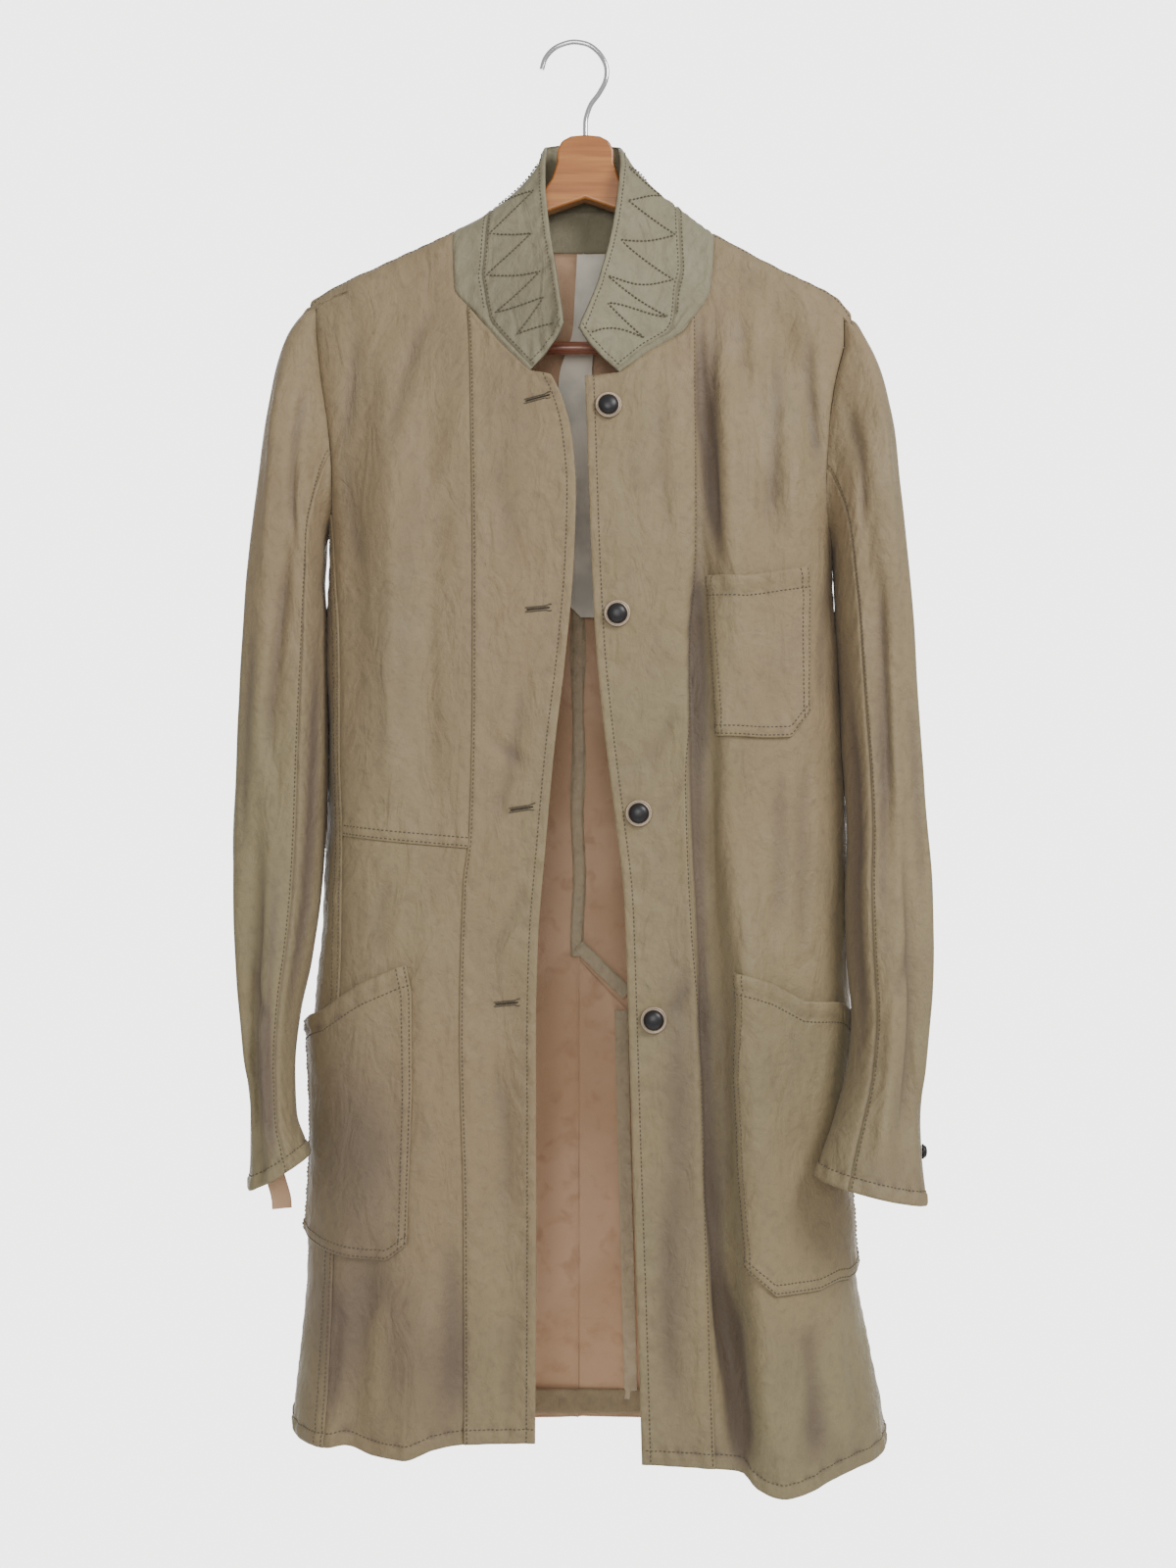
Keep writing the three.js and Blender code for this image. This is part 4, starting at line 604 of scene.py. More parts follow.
def thread(name, paths, material=THREAD, pitch=PITCH, length=STITCH, thick=THICK):
    """Stitches along paths, each a small capsule that dips in at both ends."""
    one = [(0, 1 + (k + 1) % 4, 1 + k) for k in range(4)]
    one += [(1 + k, 1 + (k + 1) % 4, 5 + (k + 1) % 4) for k in range(4)]
    one += [(1 + k, 5 + (k + 1) % 4, 5 + k) for k in range(4)]
    one += [(9, 5 + k, 5 + (k + 1) % 4) for k in range(4)]
    vertices = []
    for points, normals in paths:
        run = run_along(points)
        starts = np.arange(0.5, run[-1] - length, pitch)
        if not len(starts):
            continue
        a, b = sampled(starts, run, points), sampled(starts + length, run, points)
        n = unit(sampled(starts + length / 2, run, normals))
        middle = sampled(starts + length / 2, run, points)
        ahead = b - a
        wide = unit(np.cross(ahead, n)) * thick
        ring = [wide, n * thick, -wide, -n * thick]
        made = [a - n * thick * STITCH_SUNK]
        made += [middle - ahead * STITCH_FLAT + r + n * thick * STITCH_PROUD for r in ring]
        made += [middle + ahead * STITCH_FLAT + r + n * thick * STITCH_PROUD for r in ring]
        made += [b - n * thick * STITCH_SUNK]
        vertices.append(np.stack(made, 1).reshape(-1, 3))
    vertices = np.concatenate(vertices)
    faces = np.array(one)[None] + np.arange(0, len(vertices), 10)[:, None, None]
    mesh = bpy.data.meshes.new(name)
    mesh.from_pydata((vertices * MM).tolist(), [], faces.reshape(-1, 3).tolist())
    mesh.materials.append(material)
    shade_smooth(mesh)
    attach(added(name, mesh), "root")


SHOULDER = {RIGHT: {"neck": 95.2, "tip": 211}, LEFT: {"neck": 103, "tip": 216}}
BACK_NECK = columns("x z", (0, -155), (20, -154.8), (40, -153.5), (58, -151.8), (75, -149))
ARMHOLE = {
    (RIGHT, FRONT): columns("x z", (-198.5, -222), (-194, -261), (-189.5, -291), (-186.5, -331),
                            (-187.5, -362), (-190, -378)),
    (RIGHT, BACK): columns("x z", (-201, -222), (-196, -261), (-191, -300), (-188, -340),
                           (-188.5, -366), (-190, -378)),
    (LEFT, FRONT): columns("x z", (203, -232), (195, -262), (190, -295), (187.6, -341),
                           (189.6, -372), (193, -388)),
    (LEFT, BACK): columns("x z", (205, -232), (198, -266), (193, -305), (190.5, -350),
                          (191.5, -376), (193, -388)),
}
HEM = {
    (RIGHT, FRONT): columns("x z", (-31, -1047), (-83, -1047.5), (-105, -1050), (-128, -1057),
                            (-150, -1056), (-172, -1051), (-187, -1053), (-205, -1053), (-300, -1046)),
    (RIGHT, BACK): columns("x z", (0, -1062), (-60, -1063), (-130, -1059), (-300, -1046)),
    (LEFT, FRONT): columns("x z", (46.5, -1059), (100, -1062), (118, -1064), (130, -1074),
                           (150, -1080), (168, -1077), (186, -1070), (210, -1066), (300, -1061)),
    (LEFT, BACK): columns("x z", (0, -1062), (60, -1063), (140, -1064), (300, -1061)),
}
TIP_DROP = 3


def shoulder_seam(side):
    s = np.linspace(SHOULDER[side]["neck"], SHOULDER[side]["tip"], 60)
    return np.stack([s, np.full_like(s, SHOULDER_SEAM)], -1)


def tip_height(side):
    return float(read(RIDGE[side], "s", SHOULDER[side]["tip"], "z")) - TIP_DROP


def armhole(side, face):
    """Places from the shoulder seam's tip down to the armpit."""
    rows = ARMHOLE[side, face]
    down = seam(side, face, rows, tip_height(side), rows["z"][-1])
    tip = SHOULDER[side]["tip"]
    crown = [(tip, SHOULDER_SEAM)] + [(tip, w) for w in ((-22,) if face == FRONT else (3, 14, 24))]
    return np.concatenate([line(*crown, down[0])[:-1], down])


def side_foot(side):
    return float(read(HEM[side, BACK], "x", side * SIDE, "z"))


def side_seam(side, face, top):
    z = np.linspace(top, side_foot(side), 200)
    return place(side, face, side * SIDE, z)


def hem_line(side, face, first, last):
    """Places along the hem, even round the body, out to the side seam or a given x."""
    foot = side_foot(side)
    ends = [place(side, face, side * abs(x), foot)[0] for x in (first, last)]
    flat = half_width(side, foot) - SIDE_TURN
    s = np.linspace(*ends, 160)
    turn = np.maximum(s - flat, 0) / turn_arc(side, foot) * math.pi / 2
    x = side * (np.minimum(s, flat) + SIDE_TURN * np.sin(turn))
    places = place(side, face, x, read(HEM[side, face], "x", x, "z"))
    if last == SIDE:
        places[-1] = place(side, face, side * SIDE, foot)
    return places


def armpit(side):
    return ARMHOLE[side, FRONT]["z"][-1]


def down_to_side(side, face):
    return np.concatenate([armhole(side, face), side_seam(side, face, armpit(side))[1:]])


def back_neck(side):
    places = place(side, BACK, side * BACK_NECK["x"], BACK_NECK["z"])
    neck = SHOULDER[side]["neck"]
    return line(*places, (neck - 7, 11), (neck - 3, 0), (neck, SHOULDER_SEAM))


HEM_STITCH = 10.5
backs = {}
for side, word in ((RIGHT, "right"), (LEFT, "left")):
    grid = patch(
        top=np.concatenate([back_neck(side)[:-1], shoulder_seam(side)]),
        bottom=hem_line(side, BACK, 0, SIDE),
        inner=place(side, BACK, 0, np.linspace(-155, -1062, 200)),
        outer=down_to_side(side, BACK))
    panel = sewn(*on_body(side, grid[..., 0], grid[..., 1], BODY_SEED * side),
                 {"top": "seam", "bottom": "hem", "inner": "seam", "outer": "seam"}, 2 + side)
    backs[side] = panel
    piece = shell(f"back_{word}", panel, (KHAKI, SUEDE))
    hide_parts(f"back_{word}")
thread("stitches_back", [
    beside(backs[side], *where) for side in (RIGHT, LEFT)
    for where in (("bottom", HEM_STITCH), ("inner", 3.5), ("outer", 3.5, 0.32))])


# The fronts. The right one has a band with buttonholes, a waist seam and a side
# piece behind a double stitched seam; the left one has a band with the buttons
# and hangs in a deep fold beside it.
BAND_SEAM = {
    RIGHT: columns("x z", (-83, -205.6), (-80.5, -257), (-78, -390), (-77.8, -500), (-80.2, -604),
                   (-84.5, -640), (-87, -745), (-84, -882), (-83, -1047.5)),
    LEFT: columns("x z", (88.5, -212), (88.4, -260), (88, -390), (84.8, -503), (80.5, -560),
                  (84.5, -669), (90.9, -749), (95, -900), (100, -1062)),
}
FRONT_EDGE = {
    RIGHT: columns("x z", (-20, -260.5), (-11.5, -279), (-4.8, -306), (-1.4, -349), (-3, -400),
                   (-9, -470), (-17, -537), (-24.2, -616), (-29.3, -681), (-30.7, -740),
                   (-30.5, -900), (-31, -1047)),
    LEFT: columns("x z", (5.3, -261.5), (6.8, -306), (8.2, -349), (9.7, -392), (13, -458),
                  (19, -522), (27, -587), (34.2, -652), (37.1, -739), (40, -840), (43.6, -950),
                  (46.5, -1059)),
}
NECK_SEAM = {
    RIGHT: columns("x z", (-95.2, -157), (-94.6, -175), (-93.5, -192), (-83, -205.6), (-57.8, -235),
                   (-36, -257), (-20, -260.5)),
    LEFT: columns("x z", (102.6, -158), (101.6, -175), (100.3, -191.5), (88.5, -212), (78, -227),
                  (52.5, -242), (31, -258.5), (5.3, -261.5)),
}
SIDE_FRONT = columns("x z", (-187.5, -362), (-182, -405), (-178.2, -459), (-177.8, -536),
                     (-176, -604), (-178, -760), (-182, -930), (-187, -1053))
WAIST = columns("x z", (-80.6, -613), (-128, -609), (-176, -604))
WAIST_BAND, WAIST_SIDE, NECK_END = -613, -604, -16
fronts = {}


def neck_and_band(side, foot):
    """Places down the neck seam from the shoulder, then down the band's seam."""
    neck, rows = SHOULDER[side]["neck"], NECK_SEAM[side]
    start, turn = rows["z"][0], BAND_SEAM[side]["z"][0]
    top = line((neck, SHOULDER_SEAM), (neck, NECK_END), place(side, FRONT, rows["x"][0], start))
    return np.concatenate([top[:-1], seam(side, FRONT, rows, start, turn, 30)[:-1],
                           seam(side, FRONT, BAND_SEAM[side], turn, foot)])


def front(name, side, cut, edges, **sides):
    """One piece of the front, sewn by its edges."""
    grid = patch(**sides)
    panel = sewn(*on_body(side, grid[..., 0], grid[..., 1], BODY_SEED * side), edges, len(name) / 3)
    piece = shell(name, panel, (KHAKI, SUEDE))
    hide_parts(name)
    fronts[name] = panel


for side, word, cut in ((RIGHT, "right", ((0.088, 0.845), 0.050)), (LEFT, "left", ((0.102, 0.853), 0.051))):
    rows = NECK_SEAM[side]
    top = place(side, FRONT, rows["x"][3:], rows["z"][3:])
    foot, edge_foot = BAND_SEAM[side], FRONT_EDGE[side]
    front(f"front_band_{word}", side, cut,
          {"top": "seam", "bottom": "hem", "inner": "lap", "outer": "turned"},
          top=line(*top), bottom=hem_line(side, FRONT, foot["x"][-1], edge_foot["x"][-1]),
          inner=seam(side, FRONT, foot, foot["z"][0], foot["z"][-1]),
          outer=seam(side, FRONT, edge_foot, edge_foot["z"][0], edge_foot["z"][-1]))

waist = edge(RIGHT, FRONT, WAIST, 80.6, 176)
upper_outer = armhole(RIGHT, FRONT)
upper_outer = upper_outer[:int(np.argmin(np.abs(upper_outer[:, 1] - place(RIGHT, FRONT, -187.5, -362)[1])))]
side_front_up = seam(RIGHT, FRONT, SIDE_FRONT, -362, WAIST_SIDE)
side_front_low = seam(RIGHT, FRONT, SIDE_FRONT, WAIST_SIDE, -1053)
front("front_upper_right", RIGHT, ((0.124, 0.478), 0.050),
      {"top": "seam", "bottom": "lap", "inner": "under", "outer": "under"},
      top=shoulder_seam(RIGHT), bottom=waist, inner=neck_and_band(RIGHT, WAIST_BAND),
      outer=np.concatenate([upper_outer, side_front_up]))
front("front_lower_right", RIGHT, ((0.111, 0.450), 0.044),
      {"top": "under", "bottom": "hem", "inner": "under", "outer": "under"},
      top=waist, bottom=hem_line(RIGHT, FRONT, -83, -187),
      inner=seam(RIGHT, FRONT, BAND_SEAM[RIGHT], WAIST_BAND, -1047.5), outer=side_front_low)
armpit_place = place(RIGHT, FRONT, *(ARMHOLE[RIGHT, FRONT][k][-1] for k in "xz"))
front("side_right", RIGHT, ((0.074, 0.694), 0.035),
      {"bottom": "hem", "inner": "lap", "outer": "seam"},
      top=line(side_front_up[0], armpit_place), bottom=hem_line(RIGHT, FRONT, -187, SIDE),
      inner=np.concatenate([side_front_up[:-1], side_front_low]),
      outer=np.concatenate([[armpit_place], side_seam(RIGHT, FRONT, armpit(RIGHT))[1:]]))
front("front_left", LEFT, ((0.195, 0.925), 0.139),
      {"top": "seam", "bottom": "hem", "inner": "under", "outer": "seam"},
      top=shoulder_seam(LEFT), bottom=hem_line(LEFT, FRONT, 100, SIDE),
      inner=neck_and_band(LEFT, -1062), outer=down_to_side(LEFT, FRONT))
thread("stitches_front", [
    beside(fronts[name], *where) for name, where in (
        ("front_band_right", ("inner", 2)), ("front_band_right", ("outer", 6.5)),
        ("front_band_right", ("bottom", 10.5)), ("front_band_left", ("inner", 2)),
        ("front_band_left", ("outer", 6.5)), ("front_band_left", ("bottom", 10.5)),
        ("front_upper_right", ("bottom", 2)), ("front_upper_right", ("bottom", 8)),
        ("front_upper_right", ("top", 3)), ("front_lower_right", ("bottom", 10.5)),
        ("side_right", ("inner", 2)), ("side_right", ("inner", 8)), ("side_right", ("bottom", 10.5)),
        ("front_left", ("bottom", 10.5)), ("front_left", ("top", 3)))])


# Three patch pockets, turned in and double stitched all round but at the mouth,
# which has a wide band and gapes a little where hands have pulled it.
POCKETS = {
    "pocket_chest": {
        "side": LEFT, "gap": (1.6, 3.2), "cut": ((0.085, 0.122), 0.0096),
        "mouth": ((96.5, -411), (120, -412), (145, -408.5), (168.6, -404.4)),
        "inner": ((96.5, -411), (101, -466), (104.5, -529.5)),
        "outer": ((168.6, -404.4), (171.6, -422), (171.6, -466), (170.4, -512)),
        "foot": ((104.5, -529.5), (131.6, -531.3), (157.5, -531), (170.4, -512)),
    },
    "pocket_lower_right": {
        "side": RIGHT, "gap": (1.2, 5.0), "cut": ((0.127, 0.205), 0.0227),
        "mouth": ((-125.9, -698.5), (-134, -700.7), (-160, -713), (-186, -734), (-300, -747)),
        "inner": ((-125.9, -698.5), (-122, -719), (-121.5, -790), (-125.2, -903)),
        "outer": ((-300, -747), (-300, -830), (-300, -905)),
        "foot": ((-125.2, -903), (-140, -915), (-166, -914), (-300, -905)),
    },
    "pocket_lower_left": {
        "side": LEFT, "gap": (1.2, 5.0), "cut": ((0.149, 0.214), 0.0296),
        "mouth": ((118.5, -703), (141, -711.6), (165, -725), (300, -742)),
        "inner": ((118.5, -703), (117, -775), (120, -845), (125, -915.6)),
        "outer": ((300, -742), (300, -830), (300, -930)),
        "foot": ((125, -915.6), (142, -935), (176, -935.4), (300, -930)),
    },
}
POCKET_SEAT = 1.9
MOUTH_SHARE = 0.5
POCKET_EDGES = {"top": "hem", "bottom": "lap", "inner": "lap", "outer": "lap"}
for name, pocket in POCKETS.items():
    side = pocket["side"]
    around = [line(*place(side, FRONT, *np.array(pocket[k]).T)) for k in ("mouth", "foot", "inner", "outer")]
    grid = patch(*around, step=3.2)
    points, normals, crease = on_body(side, grid[..., 0], grid[..., 1], BODY_SEED * side)
    v = np.linspace(0, 1, grid.shape[0])[:, None]
    u = np.linspace(0, 1, grid.shape[1])[None, :]
    gape = (pocket["gap"][0] + (pocket["gap"][1] - pocket["gap"][0]) * u) * smooth(1 - v / MOUTH_SHARE)
    points = points + normals * (POCKET_SEAT + gape)[..., None]
    # The body's painted shade of creases, folds and spots under the pocket carries on into the pocket
    panel = sewn(points, normals, crease, POCKET_EDGES, u.size)
    piece = shell(name, panel, (KHAKI, SUEDE))
    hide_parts(name)
    thread(f"stitches_{name}", [beside(panel, *where) for where in (
        ("inner", 2), ("inner", 8), ("outer", 2), ("outer", 8), ("bottom", 2), ("bottom", 8), ("top", 15))])


# The sleeves, each in an upper and an under piece. They hang forward and close
# to the body, with long soft folds and a turned cuff.
SLEEVES = {
    RIGHT: columns(
        "ring out_x out_z in_x in_z y front back",
        (0, -207, -201, -192, -377, -2, 30, 27), (1, -216, -214, -194, -391, -4, 34, 32),
        (2, -225, -230, -192, -404, -7, 37, 34), (3, -231, -254, -192.5, -418, -9, 39, 36),
        (4, -236, -290, -190.5, -440, -11, 40, 37), (5, -241, -332, -190, -466, -12, 40, 37),
        (6, -246.5, -382, -190, -497, -14, 39, 37), (7, -252, -436, -190, -532, -16, 38, 37),
        (8, -255.5, -490, -190.3, -568, -18, 37, 36), (9, -257.5, -548, -191, -608, -20, 36, 35),
        (10, -258, -608, -193.5, -652, -23, 35, 34), (11, -255.5, -664, -200, -694, -26, 34, 33),
        (12, -252, -716, -209, -737, -29, 33, 32), (13, -248, -766, -213, -776, -32, 32, 31),
        (14, -243.5, -812, -211, -812, -37, 32, 30), (15, -243, -842, -205, -828, -40, 33, 30),
        (16, -244, -866, -199, -841, -43, 35, 30)),
    LEFT: columns(
        "ring out_x out_z in_x in_z y front back",
        (0, 211, -211, 195, -387, -2, 30, 27), (1, 220, -225, 196, -400, -5, 34, 32),
        (2, 228, -241, 195, -412, -8, 37, 34), (3, 233.5, -262, 194.3, -426, -10, 39, 36),
        (4, 238.5, -294, 194.8, -446, -12, 40, 37), (5, 242.5, -336, 196.8, -470, -14, 40, 37),
        (6, 247.5, -386, 197.8, -500, -17, 39, 36), (7, 252, -438, 199.2, -534, -20, 38, 36),
        (8, 255, -492, 201.5, -570, -24, 37, 35), (9, 258, -550, 202.5, -610, -28, 36, 34),
        (10, 260, -608, 200, -652, -33, 36, 33), (11, 261.5, -664, 200.5, -694, -38, 36, 32),
        (12, 260.5, -716, 202, -734, -46, 36, 31), (13, 256, -766, 198, -774, -55, 35, 30),
        (14, 251, -808, 188, -808, -66, 34, 29), (15, 249.5, -838, 179, -830, -76, 33, 27),
        (16, 252, -869, 171.5, -849, -82, 33, 25)),
}
RINGS = 16
RING_BLEND = columns("ring keep", (0, 1), (1, 0.55), (2, 0.2), (3, 0.05), (4, 0), (16, 0))
SEAM_TURN = {"front": 120, "back": -40}
SLEEVE_FOLDS = columns(
    "side turn top foot spread out",
    (-1, 88, 0.12, 0.66, 20, -6), (-1, 62, 0.5, 1.1, 16, -7), (-1, 24, 0.2, 0.9, 20, 3),
    (-1, -90, 0.3, 0.9, 20, -5), (1, 96, 0.14, 0.74, 18, -6), (1, 58, 0.35, 1.05, 18, -6),
    (1, 28, 0.15, 0.8, 18, 3), (1, -95, 0.3, 0.9, 20, -5))
FOLD_SHARE = 0.25
# Creases by turn in degrees and share of the length
SLEEVE_CREASES = columns(
    "side turn share to_turn to_share width out",
    (-1, 70, 0.05, 100, 0.30, 9, -2.0), (-1, 40, 0.10, 62, 0.42, 9, 1.6),
    (-1, 92, 0.28, 76, 0.56, 8, -2.2), (-1, 48, 0.40, 40, 0.66, 9, -1.8),
    (-1, 74, 0.60, 60, 0.90, 8, -2.4), (-1, 30, 0.62, 44, 0.94, 9, 1.8),
    (-1, 96, 0.66, 84, 0.96, 9, 2.0), (-1, 12, 0.30, 20, 0.70, 10, -1.6),
    (-1, 60, 0.80, 20, 0.88, 8, -1.4), (-1, 110, 0.78, 50, 0.72, 8, -1.5),
    (-1, -60, 0.15, -95, 0.50, 10, -2.0), (-1, -100, 0.5, -70, 0.9, 10, 1.8),
    (-1, -30, 0.3, -50, 0.8, 10, -1.8), (-1, -130, 0.2, -140, 0.7, 10, -1.8),
    (-1, 150, 0.3, 140, 0.8, 10, -1.8),
    (1, 74, 0.04, 104, 0.26, 9, -2.0), (1, 44, 0.12, 66, 0.48, 9, 1.7),
    (1, 84, 0.30, 96, 0.60, 8, -2.2), (1, 46, 0.46, 36, 0.72, 9, -1.8),
    (1, 70, 0.58, 54, 0.92, 8, -2.2), (1, 28, 0.58, 34, 0.92, 10, 1.8),
    (1, 100, 0.70, 88, 0.97, 9, 2.2), (1, 10, 0.24, 18, 0.66, 10, -1.6),
    (1, 50, 0.82, 14, 0.90, 8, -1.3), (1, 112, 0.76, 60, 0.70, 8, -1.5),
    (1, -60, 0.12, -92, 0.48, 10, -2.0), (1, -100, 0.52, -74, 0.92, 10, 1.8),
    (1, -28, 0.32, -48, 0.78, 10, -1.8), (1, -130, 0.24, -142, 0.72, 10, -1.8),
    (1, 150, 0.34, 142, 0.84, 10, -1.8))
# Places painted darker as shadow and wear, by turn and share of the length
SLEEVE_SHADE_AND_WEAR = columns(
    "side turn share wide tall dark",
    (-1, 92, 0.84, 17, 0.08, 1.6), (-1, 96, 0.72, 8, 0.10, 0.8), (-1, 140, 0.50, 20, 0.35, 0.5),
    (-1, 60, 0.93, 40, 0.05, 0.3), (1, 150, 0.60, 22, 0.30, 0.6), (1, 103, 0.55, 10, 0.14, 0.6),
    (1, 86, 0.86, 20, 0.08, 0.4), (1, 60, 0.96, 50, 0.04, 0.3), (-1, -70, 0.7, 30, 0.2, 0.3),
    (1, -70, 0.65, 30, 0.2, 0.3))
SLEEVE_LENGTH = 660
ARMHOLE_GAP, UNDERARM, UNDERARM_LIFT = 0.5, 0.75, 2


def armhole_ring(side):
    """The armhole by turn: 0 at the shoulder, positive down the front."""
    rings = []
    for face in (FRONT, BACK):
        places = armhole(side, face)
        points = body_point(side, places[:, 0] + ARMHOLE_GAP, places[:, 1])
        normals = body_normal(side, places[:, 0], places[:, 1])
        run = run_along(points)
        t = run / run[-1]
        low = smooth((t - UNDERARM) / (1 - UNDERARM))[:, None]
        points[:, 2] += UNDERARM_LIFT * low[:, 0]
        normals = unit(normals * (1 - low) + np.array([0, 0, -1]) * low)
        rings.append(np.column_stack([-face * t * 180, points, normals]))
    return np.concatenate([rings[1][:0:-1], rings[0]])


def seated(value, ring, seat):
    """Values of the sleeve led over to those of the armhole near its top."""
    keep = read(RING_BLEND, "ring", ring, "keep")[..., None]
    return value * (1 - keep) + seat * keep


def sleeve_point(side, ring, turn, seats):
    """Points of the sleeve at ring numbers and turns in degrees."""
    rows = SLEEVES[side]
    value = {k: read(rows, "ring", ring, k) for k in rows if k != "ring"}
    angle = np.radians(turn)
    reach = np.where(turn > 0, value["front"], value["back"])
    share = ring / RINGS
    fold = np.zeros(np.shape(ring))
    for f in rows_of(SLEEVE_FOLDS, side):
        t = (share - f["top"]) / (f["foot"] - f["top"])
        fold += raised(f["out"], turn - f["turn"], f["spread"], t, FOLD_SHARE, FOLD_SHARE)
    swell = 1 + fold / reach
    half_x, half_z = (value["out_x"] - value["in_x"]) / 2, (value["out_z"] - value["in_z"]) / 2
    point = np.stack([
        (value["out_x"] + value["in_x"]) / 2 + half_x * np.cos(angle) * swell,
        value["y"] - np.sin(angle) * reach * swell,
        (value["out_z"] + value["in_z"]) / 2 + half_z * np.cos(angle) * swell], -1)
    return seated(point, ring, sampled(turn, seats[:, 0], seats[:, 1:4]))


def sleeve_crease(side, ring, turn):
    out = np.zeros(np.shape(ring))
    x, z = turn, ring / RINGS * SLEEVE_LENGTH
    for c in rows_of(SLEEVE_CREASES, side):
        t, off = from_line(x, z, c["turn"], c["share"] * SLEEVE_LENGTH,
                           c["to_turn"], c["to_share"] * SLEEVE_LENGTH)
        out += raised(c["out"], off, c["width"], t, CREASE_END, CREASE_END)
    return out * CREASE_DEPTH


# Painted shadow and wear of the sleeve's darkened spots
def sleeve_shade_and_wear(side, share, turn):
    out = np.zeros(np.shape(share))
    for spot in rows_of(SLEEVE_SHADE_AND_WEAR, side):
        out += darkened(spot, turn - spot["turn"], share - spot["share"])
    return out


sleeves = {}
for side, word in ((RIGHT, "right"), (LEFT, "left")):
    seats = armhole_ring(side)
    for part, first, last in (("upper", SEAM_TURN["back"], SEAM_TURN["front"]),
                              ("under", SEAM_TURN["front"], 360 + SEAM_TURN["back"])):
        turns = first + (last - first) * spaced((last - first) * 0.95, 3.8)
        rings = RINGS * spaced(SLEEVE_LENGTH, 4.4)
        ring, turn = np.meshgrid(rings, turns, indexing="ij")
        turned = np.where(turn > 180, turn - 360, turn)
        points = sleeve_point(side, ring, turned, seats)
        across = sleeve_point(side, ring, np.where(turned > 179, turned - 360, turned) + 1, seats) - points
        above, below = (np.clip(ring + step, 0, RINGS) for step in (-0.1, 0.1))
        down = sleeve_point(side, below, turned, seats) - sleeve_point(side, above, turned, seats)
        normals = unit(np.cross(across, down) * side)
        normals = unit(seated(normals, ring, sampled(turned, seats[:, 0], seats[:, 4:])))
        crease = sleeve_crease(side, ring, turned) * smooth(ring / 1.2)
        points = points + normals * (crease + ripple(points, side * 3.1) * smooth(ring / 1.5))[..., None]
        # Painted shade: crease troughs and the shaded spots are painted darker
        panel = sewn(points, normals, crease - CREASE_DARK * sleeve_shade_and_wear(side, ring / RINGS, turned),
                     {"top": "seam", "bottom": "hem", "inner": "seam", "outer": "seam"}, 3 + side)
        sleeves[side, part] = panel
        piece = shell(f"sleeve_{part}_{word}", panel, (KHAKI, SUEDE))
        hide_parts(f"sleeve_{part}_{word}")
thread("stitches_sleeves", [beside(panel, "bottom", HEM_STITCH) for panel in sleeves.values()]
       + [beside(sleeves[side, "upper"], "outer", 3) for side in (RIGHT, LEFT)])


# The collar stands up. It is a stand and a leaf of greener leather on both
# sides, and the leaf is quilted with one long zigzag as tailors sew it.
COLLAR_EDGE = columns(
    "share x y z", (0, -12, -50, -224), (0.066, -16.6, -42, -185), (0.185, -22, -30, -145),
    (0.26, -25, -22, -113), (0.336, -26, -12, -87), (0.39, -26, 8, -76), (0.455, -16, 27, -69),
    (0.509, 3, 33, -66), (0.563, 22, 27, -69), (0.628, 33, 8, -76), (0.682, 33, -12, -87),
    (0.769, 30, -23, -121), (0.844, 26, -31, -149), (0.952, 16.3, -42, -189), (1, 1.7, -51, -227.5))
# The stand's part of the height, by the share of the seam inwards from its ends
STAND = columns("inwards height", (0, 0.06), (0.09, 0.06), (0.12, 0.13), (0.165, 0.25), (0.235, 0.32),
                (0.3, 0.36), (0.5, 0.36))
COLLAR_BULGE, COLLAR_FLAT = 3, 0.4
COLLAR_LEATHER = leather("collar_leather", (0.232, 0.216, 0.136), (0.240, 0.206, 0.130),
                         (0.214, 0.220, 0.142), (0.104, 0.088, 0.062))


def neck_places(side):
    rows = NECK_SEAM[side]
    turn = BAND_SEAM[side]["z"][0]
    front_part = line(*place(side, FRONT, rows["x"][3:-1], rows["z"][3:-1]))[::-1]
    up = seam(side, FRONT, rows, rows["z"][0], turn, 60)[::-1]
    neck = SHOULDER[side]["neck"]
    over = line(up[-1], (neck, NECK_END), (neck, SHOULDER_SEAM))
    return np.concatenate([front_part[:-1], up[:-1], over[:-1], back_neck(side)[::-1]])


neck = []
for side in (RIGHT, LEFT):
    places = neck_places(side)
    both = np.column_stack([body_point(side, places[:, 0], places[:, 1]),
                            body_normal(side, places[:, 0], places[:, 1])])
    neck.append(both if side == RIGHT else both[::-1][1:])
neck = np.concatenate(neck)
neck_run = run_along(neck[:, :3])
neck_share = neck_run / neck_run[-1]


def collar_point(share, height):
    """Points of the collar by share along the neck seam and height, 0 to 1."""
    foot = sampled(share, neck_share, neck[:, :3])
    top = np.stack([read(COLLAR_EDGE, "share", share, k) for k in "xyz"], -1)
    outward = unit(np.stack([foot[..., 0], foot[..., 1] * COLLAR_FLAT, 0 * share], -1))
    h = height[..., None]
    return foot * (1 - h) + top * h - outward * (COLLAR_BULGE * 4 * h * (1 - h))


def collar_height(share, level):
    """The height of a level, which runs from 0 to 1 in the stand and to 2 in the leaf."""
    stand = read(STAND, "inwards", np.minimum(share, 1 - share), "height")
    return np.where(level <= 1, level * stand, stand + (1 - stand) * (level - 1))


def collar_surface(share, level):
    height, along_seam, upwards = collar_height(share, level), 0.004, 0.03
    across = (collar_point(np.clip(share + along_seam, 0, 1), height)
              - collar_point(np.clip(share - along_seam, 0, 1), height))
    up = (collar_point(share, np.clip(height + upwards, 0, 1))
          - collar_point(share, np.clip(height - upwards, 0, 1)))
    normal = -unit(np.cross(across, up))
    keep = np.clip(1 - level * 4, 0, 1)[..., None]
    seat = sampled(share, neck_share, neck[:, 3:])
    return collar_point(share, height), unit(normal * (1 - keep) + seat * keep)


